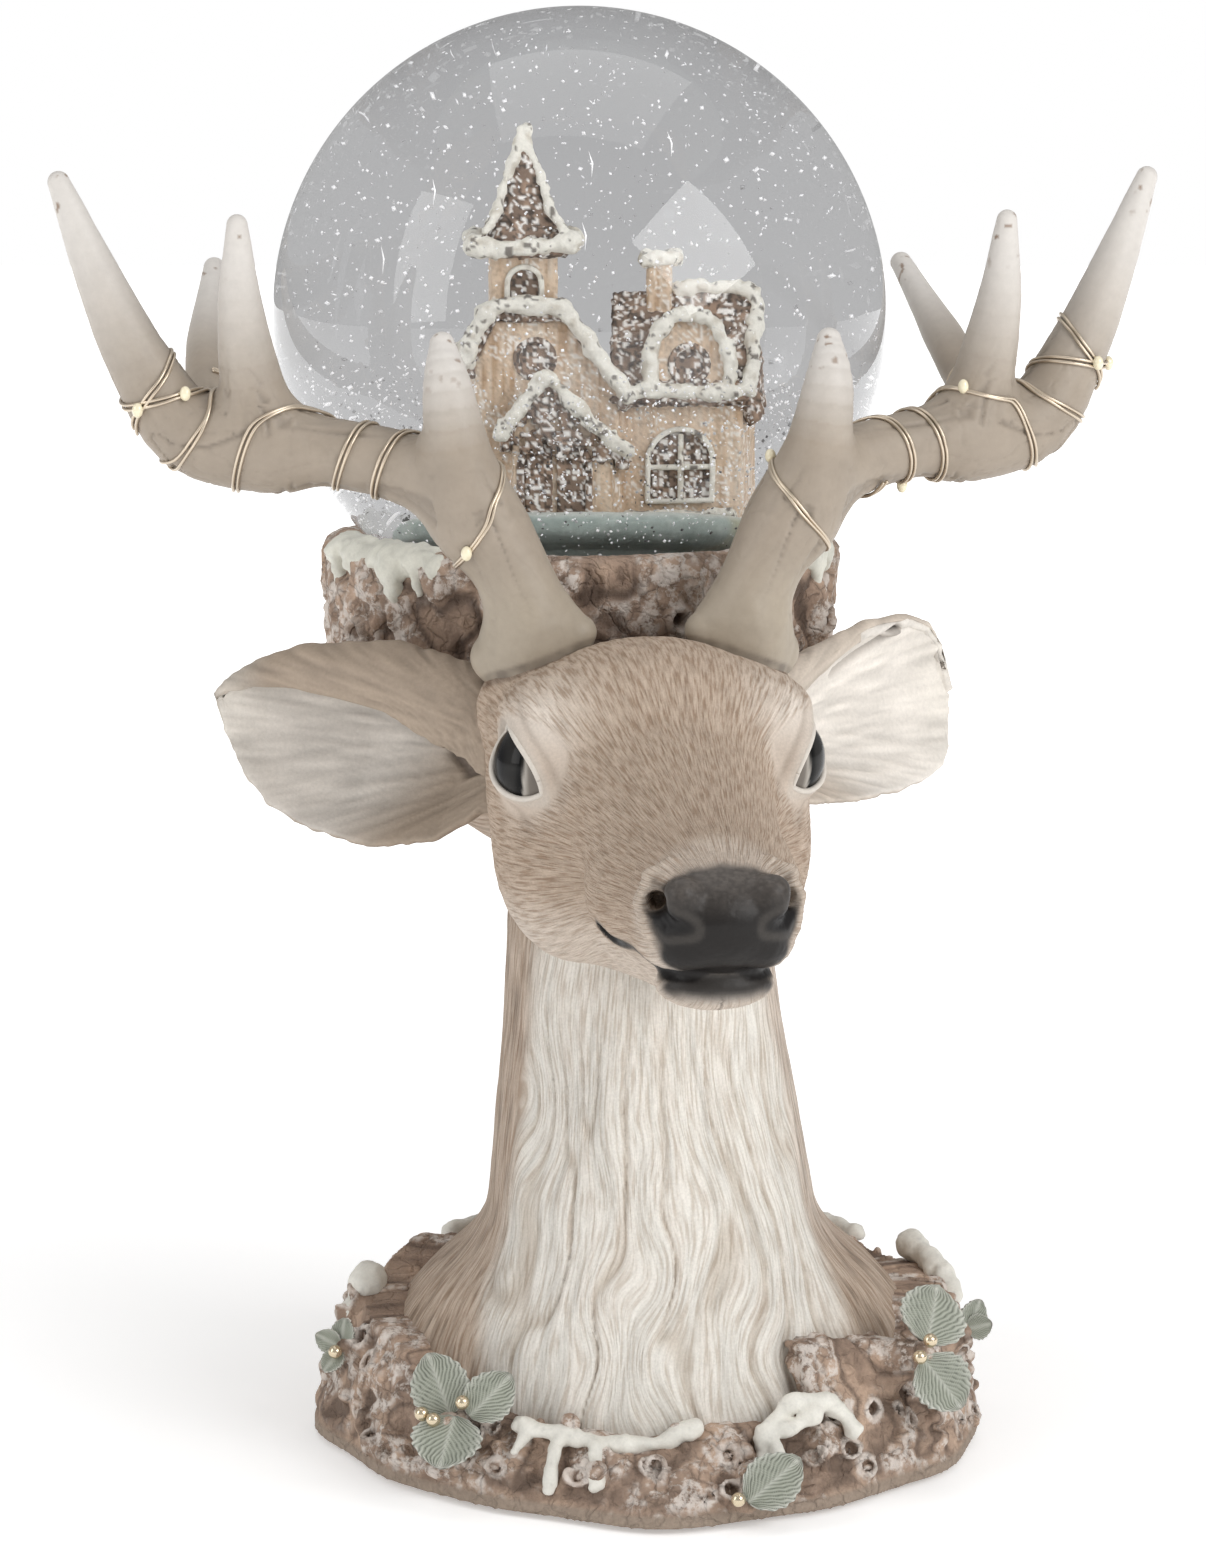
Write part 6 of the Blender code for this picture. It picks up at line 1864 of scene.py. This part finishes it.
def leaf(stem, tip, width, facing, seed):
    """A pleated round leaf as a thin closed sheet: points, faces and colour."""
    stem, tip, facing = (np.array(v, float) for v in (stem, tip, facing))
    length, axis = norm(tip - stem), unit(tip - stem)
    side = unit(np.cross(axis, facing))
    face = np.cross(side, axis)
    u = (1 - np.cos(np.linspace(0.04, 1, 56) * np.pi)) / 2
    v = np.linspace(-1, 1, 49)
    half = 0.5 * width * np.sin(np.pi * np.clip(u, 0, 1) ** 0.85) ** 0.62
    uu, vv = np.meshgrid(u, v, indexing="ij")
    hh = half[:, None] * (1 + 0.04 * np.sin(u * 40)[:, None])
    vein = uu - 0.55 * np.abs(vv) ** 0.9
    pleat = np.abs(np.sin(np.pi * 10.5 * vein + seed)) ** 0.8
    rib = np.exp(-((vv * hh / 0.35) ** 2))
    lift = 0.30 * pleat * np.minimum(np.abs(vv) * 3, 1) + 0.3 * rib - 1.8 * (uu - 0.5) ** 2 + 0.5 * vv**2
    lift = lift * min(1, width / 8)
    middle = stem + (uu * length)[..., None] * axis + (vv * hh)[..., None] * side
    middle = middle + lift[..., None] * face
    rings = np.concatenate((middle + 0.12 * face, (middle - 0.35 * face)[:, ::-1]), 1)
    points, faces = lofted(rings)
    edge = np.maximum(np.abs(vv) ** 6, smooth(uu, 0.86, 1.0))
    shade = (0.42 + 0.75 * pleat)[..., None] * np.array(LEAF)
    worn = 0.75 * edge * pleat + 0.22 * pleat**3 + 0.3 * rib
    shade = shade + (np.array(LEAF_WORN) - shade) * worn[..., None]
    colour = np.concatenate((shade, shade[:, ::-1] * 0.8), 1).reshape(-1, 3)
    return points, faces, np.vstack((colour, LEAF, LEAF))


def leaves():
    made = [leaf(*row, 0.7 * i) for i, row in enumerate(LEAVES)]
    points, faces = merged([m[:2] for m in made])
    colour = np.vstack([m[2] for m in made])
    nodes = ["leaf_sprig_left", "leaf_sprig_right", "leaf_sprig_front"]
    mat = painted("leaf_paint", 0.6, 1800, 0.06, 0.2)
    mesh_object("leaves", points, faces, mat, colour=colour, node=nodes, slot="leaf_resin")


def berries():
    points, faces = merged([ball(b, (BERRY_RADIUS,) * 3, 16) for b in BERRIES])
    n = Nodes("gold_bead")
    rough = n.ramp(n.noise(900), ((0.3, 0.12), (0.7, 0.3)))
    n.set(Base_Color=GOLD, Metallic=0.9, Roughness=rough)
    nodes = [f"berry_{i}" for i in range(1, 7)]
    mesh_object("berries", points, faces, n.mat, node=nodes, slot="gold_bead")


def base():
    bark = bark_material()
    snow = snow_material()
    bark_ring(bark)
    low, high = (-56, -60, 2), (56, 56, 30)
    netted("base_snow", base_snow_field, low, high, 0.45, snow, BASE_SNOW_TINT, slot="bark_resin")
    leaves()
    berries()
    stump(bark)
    stump_snow(snow)


# --- lights ---------------------------------------------------------------------------------------
FIRST_TURN = {  # the turn round the brow tine's foot, on the antlers at -X and at +X
    -1: ((0.30, 0.34), (0.28, 0.56), (0.235, 0.82), (0.185, 1.10)),
    1: ((0.31, 0.12), (0.285, 0.34), (0.235, 0.64), (0.18, 1.0)),
}
WINDING = (  # share of the beam's length, turns round it
    (0.20, 1.45),
    (0.33, 1.72),
    (0.365, 2.30),
    (0.39, 2.74),
    (0.425, 3.3),
    (0.45, 3.72),
    (0.53, 3.92),
    (0.565, 4.35),
    (0.59, 4.74),
    (0.63, 5.3),
    (0.655, 5.74),
    (0.70, 6.2),
    (0.735, 6.7),
    (0.70, 7.0),
    (0.67, 7.25),
)
REAR_WINDING = ((0.02, 0.1), (0.12, 0.6), (0.2, 1.1), (0.3, 1.6), (0.34, 2.0))
DROPS = {-1: (0.17, 0.47, 0.80, 0.87, 0.97), 1: (0.13, 0.33, 0.52, 0.84, 0.96)}  # shares of the wire
DROP_RADIUS = 0.85
WIRE = (0.64, 0.545, 0.43)
LED = (0.84, 0.76, 0.55)


def wound(curve, winding, shift):
    """A path wound round a limb, lying on the antler's skin, in the head's frame for +X."""
    steps = travelled(curve[:, :3])
    fine = spline(winding, 26)
    at = np.clip(fine[:, 0] * steps[-1] + shift * smooth(fine[:, 0], 0.0, 0.35), 0, steps[-1])
    middle = looked_up(at, steps, curve)
    ahead = unit(looked_up(at + 1, steps, curve[:, :3]) - middle[:, :3])
    front = unit(np.array((0, -1.0, 0)) + ahead * ahead[:, 1:2])
    up = np.cross(ahead, front)
    turn = fine[:, 1] * 2 * np.pi
    way = front * np.cos(turn)[:, None] + up * np.sin(turn)[:, None]
    points = middle[:, :3] + way * (middle[:, 3:] + 0.4)
    for _ in range(3):
        value, gradient = slope(antler_field, points, 0.3)
        size = np.maximum((gradient**2).sum(1), 0.3)
        points = points + np.clip((0.32 - value) / size, -1.5, 1.5)[:, None] * gradient
    kernel = np.ones(5) / 5
    padded = np.pad(points, ((2, 2), (0, 0)), "edge")
    return np.stack([np.convolve(padded[:, i], kernel, "valid") for i in range(3)], 1)


def drop(p, out):
    """A little LED in its drop of resin, standing off the limb."""
    points, faces = ball((0, 0, 0), DROP_RADIUS * np.array((1, 1, 1.35)), 14)
    return points + p + out * DROP_RADIUS * 0.7, faces


def lights():
    """The pair of wires wound round each antler, and their five LEDs."""
    wire = Nodes("light_wire")
    wire.set(Base_Color=WIRE, Metallic=0.85, Roughness=0.3)
    led = Nodes("led_drop")
    led.set(Base_Color=LED, Roughness=0.15, Coat_Weight=0.8, Specular_IOR_Level=0.6)
    for name, side in SIDES:
        shift = 0 if side < 0 else 5.0
        paths = [wound(BEAM, FIRST_TURN[side] + WINDING, shift + s) for s in (-0.4, 0.4)]
        paths += [wound(REAR, REAR_WINDING, 3 + s) for s in (-0.4, 0.4)]
        placed, faces = sided(*merged([tube(path, 0.27, 7) for path in paths]), side)
        node = f"light_wire_{name}"
        mesh_object(f"wire_{name}", placed, faces, wire.mat, node=node, slot="light_wire")
        main = (paths[0] + paths[1]) / 2
        picks = [int(share * (len(main) - 1)) for share in DROPS[side]]
        middle = [BEAM[norm(BEAM[:, :3] - main[i]).argmin(), :3] for i in picks]
        drops = [drop(main[i], unit(main[i] - m)) for i, m in zip(picks, middle)]
        placed, faces = sided(*merged(drops), side)
        nodes = [f"led_bead_{name}_{i}" for i in range(1, 6)]
        mesh_object(f"drops_{name}", placed, faces, led.mat, node=nodes, slot="led_drop")


# --- parts shown as they are in the CAD -----------------------------------------------------------
def plain(name, tint, rough, metal=0.0, grain=900, depth=0.03, spread=0.12):
    """A finish for a hidden or hardware part, with a fine grain."""
    n = Nodes(name)
    fine = n.noise(grain, 3.0)
    low = tuple(c * (1 - spread) for c in tint)
    high = tuple(min(1, c * (1 + spread)) for c in tint)
    n.set(Base_Color=n.ramp(fine, ((0.3, low), (0.7, high))), Metallic=metal)
    n.set(Roughness=n.ramp(fine, ((0.3, rough * 0.85), (0.7, min(1, rough * 1.15)))))
    n.set(Normal=n.bump(fine, depth, 0.5))
    return n.mat


def finishes():
    """Materials for the CAD nodes that stay visible."""
    plastic = plain("black_plastic", (0.035, 0.035, 0.036), 0.45)
    rubber = plain("soft_rubber", (0.05, 0.048, 0.046), 0.85, 0, 1500, 0.06)
    steel = plain("steel", (0.60, 0.59, 0.57), 0.3, 1.0)
    cells = plain("cell_sleeve", (0.15, 0.19, 0.30), 0.35)
    cable = plain("cable_skin", (0.045, 0.045, 0.05), 0.5)
    stopper = plain("globe_stopper", (0.06, 0.06, 0.062), 0.7, 0, 1200, 0.06)
    knob = plain("switch_knob", (0.50, 0.49, 0.47), 0.5)
    screws = ["door_screw"] + [f"plate_screw_{i}" for i in range(1, 5)]
    uses = (
        (plastic, ["base_plate", "battery_case", "battery_door", "switch_body"]),
        (knob, ["switch_knob"]),
        (rubber, ["base_pad"]),
        (steel, screws + ["contact_bridge", "contact_positive", "contact_negative"]),
        (cells, ["cell_1", "cell_2"]),
        (cable, ["lead_cable_left", "lead_cable_right"]),
        (stopper, ["globe_stopper"]),
        (water_material(), ["water_fill"]),
    )
    for mat, nodes in uses:
        for node in nodes:
            mesh = frame["nodes"][node].data
            mesh.materials.clear()
            mesh.materials.append(mat)


def water_material():
    """The glass already bends light into the water, so the water itself only has to be there."""
    n = Nodes("water")
    n.set(Base_Color=(0.85, 0.88, 0.90), Alpha=0.0, Roughness=0.0, IOR=1.0, Specular_IOR_Level=0.0)
    clear = n.node("BsdfTransparent", {"Color": (1.0, 1.0, 1.0)})
    n.surface(1.0, n.shader, clear)
    return n.mat


# --- stage ----------------------------------------------------------------------------------------
WORLD = 0.44  # the light all round
THROUGH = 0.60  # what the globe's water shows of the backdrop
FLOOR_GAP = 0.0002
LENS = 107  # millimetres
CAMERA = (-0.008, -0.712, 0.2178)
CAMERA_AIM = (-0.008, -0.012, 0.1078)
LIGHTS_AIM = (-0.01, 0.01, 0.14)
LIGHTS = (  # name, place, size, turn about its own axis, watts
    ("right_box", (0.66, -0.60, 0.60), (0.62, 0.62), 28, 5.4),
    ("left_box", (-0.86, -0.44, 0.52), (0.42, 0.75), 4, 2.6),
    ("top_box", (0.0, 0.1, 1.25), (0.9, 0.9), 0, 2.2),
)


def floor():
    """A white paper floor that can be seen through from below, so the underside shows."""
    bpy.ops.mesh.primitive_plane_add(size=8, location=(0, 0, -FLOOR_GAP))
    plane = bpy.context.object
    plane.name = "floor"
    n = Nodes("floor_paper")
    n.set(Base_Color=(0.9, 0.9, 0.9), Roughness=1.0, Specular_IOR_Level=0.0)
    far = n.node("VectorMath", {0: n.place()}, operation="LENGTH").outputs["Value"]
    spread = {"From Min": 0.08, "From Max": 0.7, "To Min": 0.32, "To Max": 0.95}
    glow = n.node("MapRange", {"Value": far, **spread})
    n.set(Emission_Color=(1.0, 1.0, 1.0), Emission_Strength=glow.outputs[0])
    lens = n.node("LightPath").outputs["Is Transmission Ray"]
    even = n.node("Emission", {"Color": (1.0, 1.0, 1.0), "Strength": THROUGH})
    both = n.surface(lens, n.shader, even)
    n.surface(n.node("NewGeometry").outputs["Backfacing"], both, n.node("BsdfTransparent"))
    plane.data.materials.append(n.mat)


def studio():
    """Even light all round, which the water sees at its own strength and the lens as white."""
    world = bpy.data.worlds.new("studio")
    bpy.context.scene.world = world
    world.use_nodes = True
    tree = world.node_tree
    back = tree.nodes["Background"]
    back.inputs["Color"].default_value = (1, 1, 1, 1)
    path = tree.nodes.new("ShaderNodeLightPath").outputs
    strength = WORLD
    for key, value in (("Is Transmission Ray", THROUGH), ("Is Camera Ray", 1.0)):
        step = tree.nodes.new("ShaderNodeMapRange")
        tree.links.new(path[key], step.inputs["Value"])
        step.inputs["To Max"].default_value = value
        if isinstance(strength, float):
            step.inputs["To Min"].default_value = strength
        else:
            tree.links.new(strength, step.inputs["To Min"])
        strength = step.outputs["Result"]
    tree.links.new(strength, back.inputs["Strength"])


def soft_boxes():
    for name, place, size, spin, power in LIGHTS:
        data = bpy.data.lights.new(name, "AREA")
        data.shape = "RECTANGLE"
        data.size, data.size_y = size
        data.energy = power
        light = add_object(name, data)
        light.location = place
        light.visible_transmission = False
        aim = (Vector(LIGHTS_AIM) - Vector(place)).to_track_quat("-Z", "Y")
        light.rotation_euler = (aim.to_matrix() @ Matrix.Rotation(math.radians(spin), 3, "Z")).to_euler()


def camera():
    data = bpy.data.cameras.new("camera")
    data.sensor_width = 36
    data.sensor_fit = "AUTO"
    data.lens = LENS
    data.clip_end = 20
    cam = add_object("camera", data)
    cam.location = CAMERA
    cam.rotation_euler = (Vector(CAMERA_AIM) - cam.location).to_track_quat("-Z", "Y").to_euler()
    bpy.context.scene.camera = cam


for make in (bust, ears, antlers, eyes, base, globe, glitter, ground, house, lights, finishes):
    make()
for make in (floor, studio, soft_boxes, camera):
    make()
bpy.context.scene.view_settings.view_transform = "Standard"
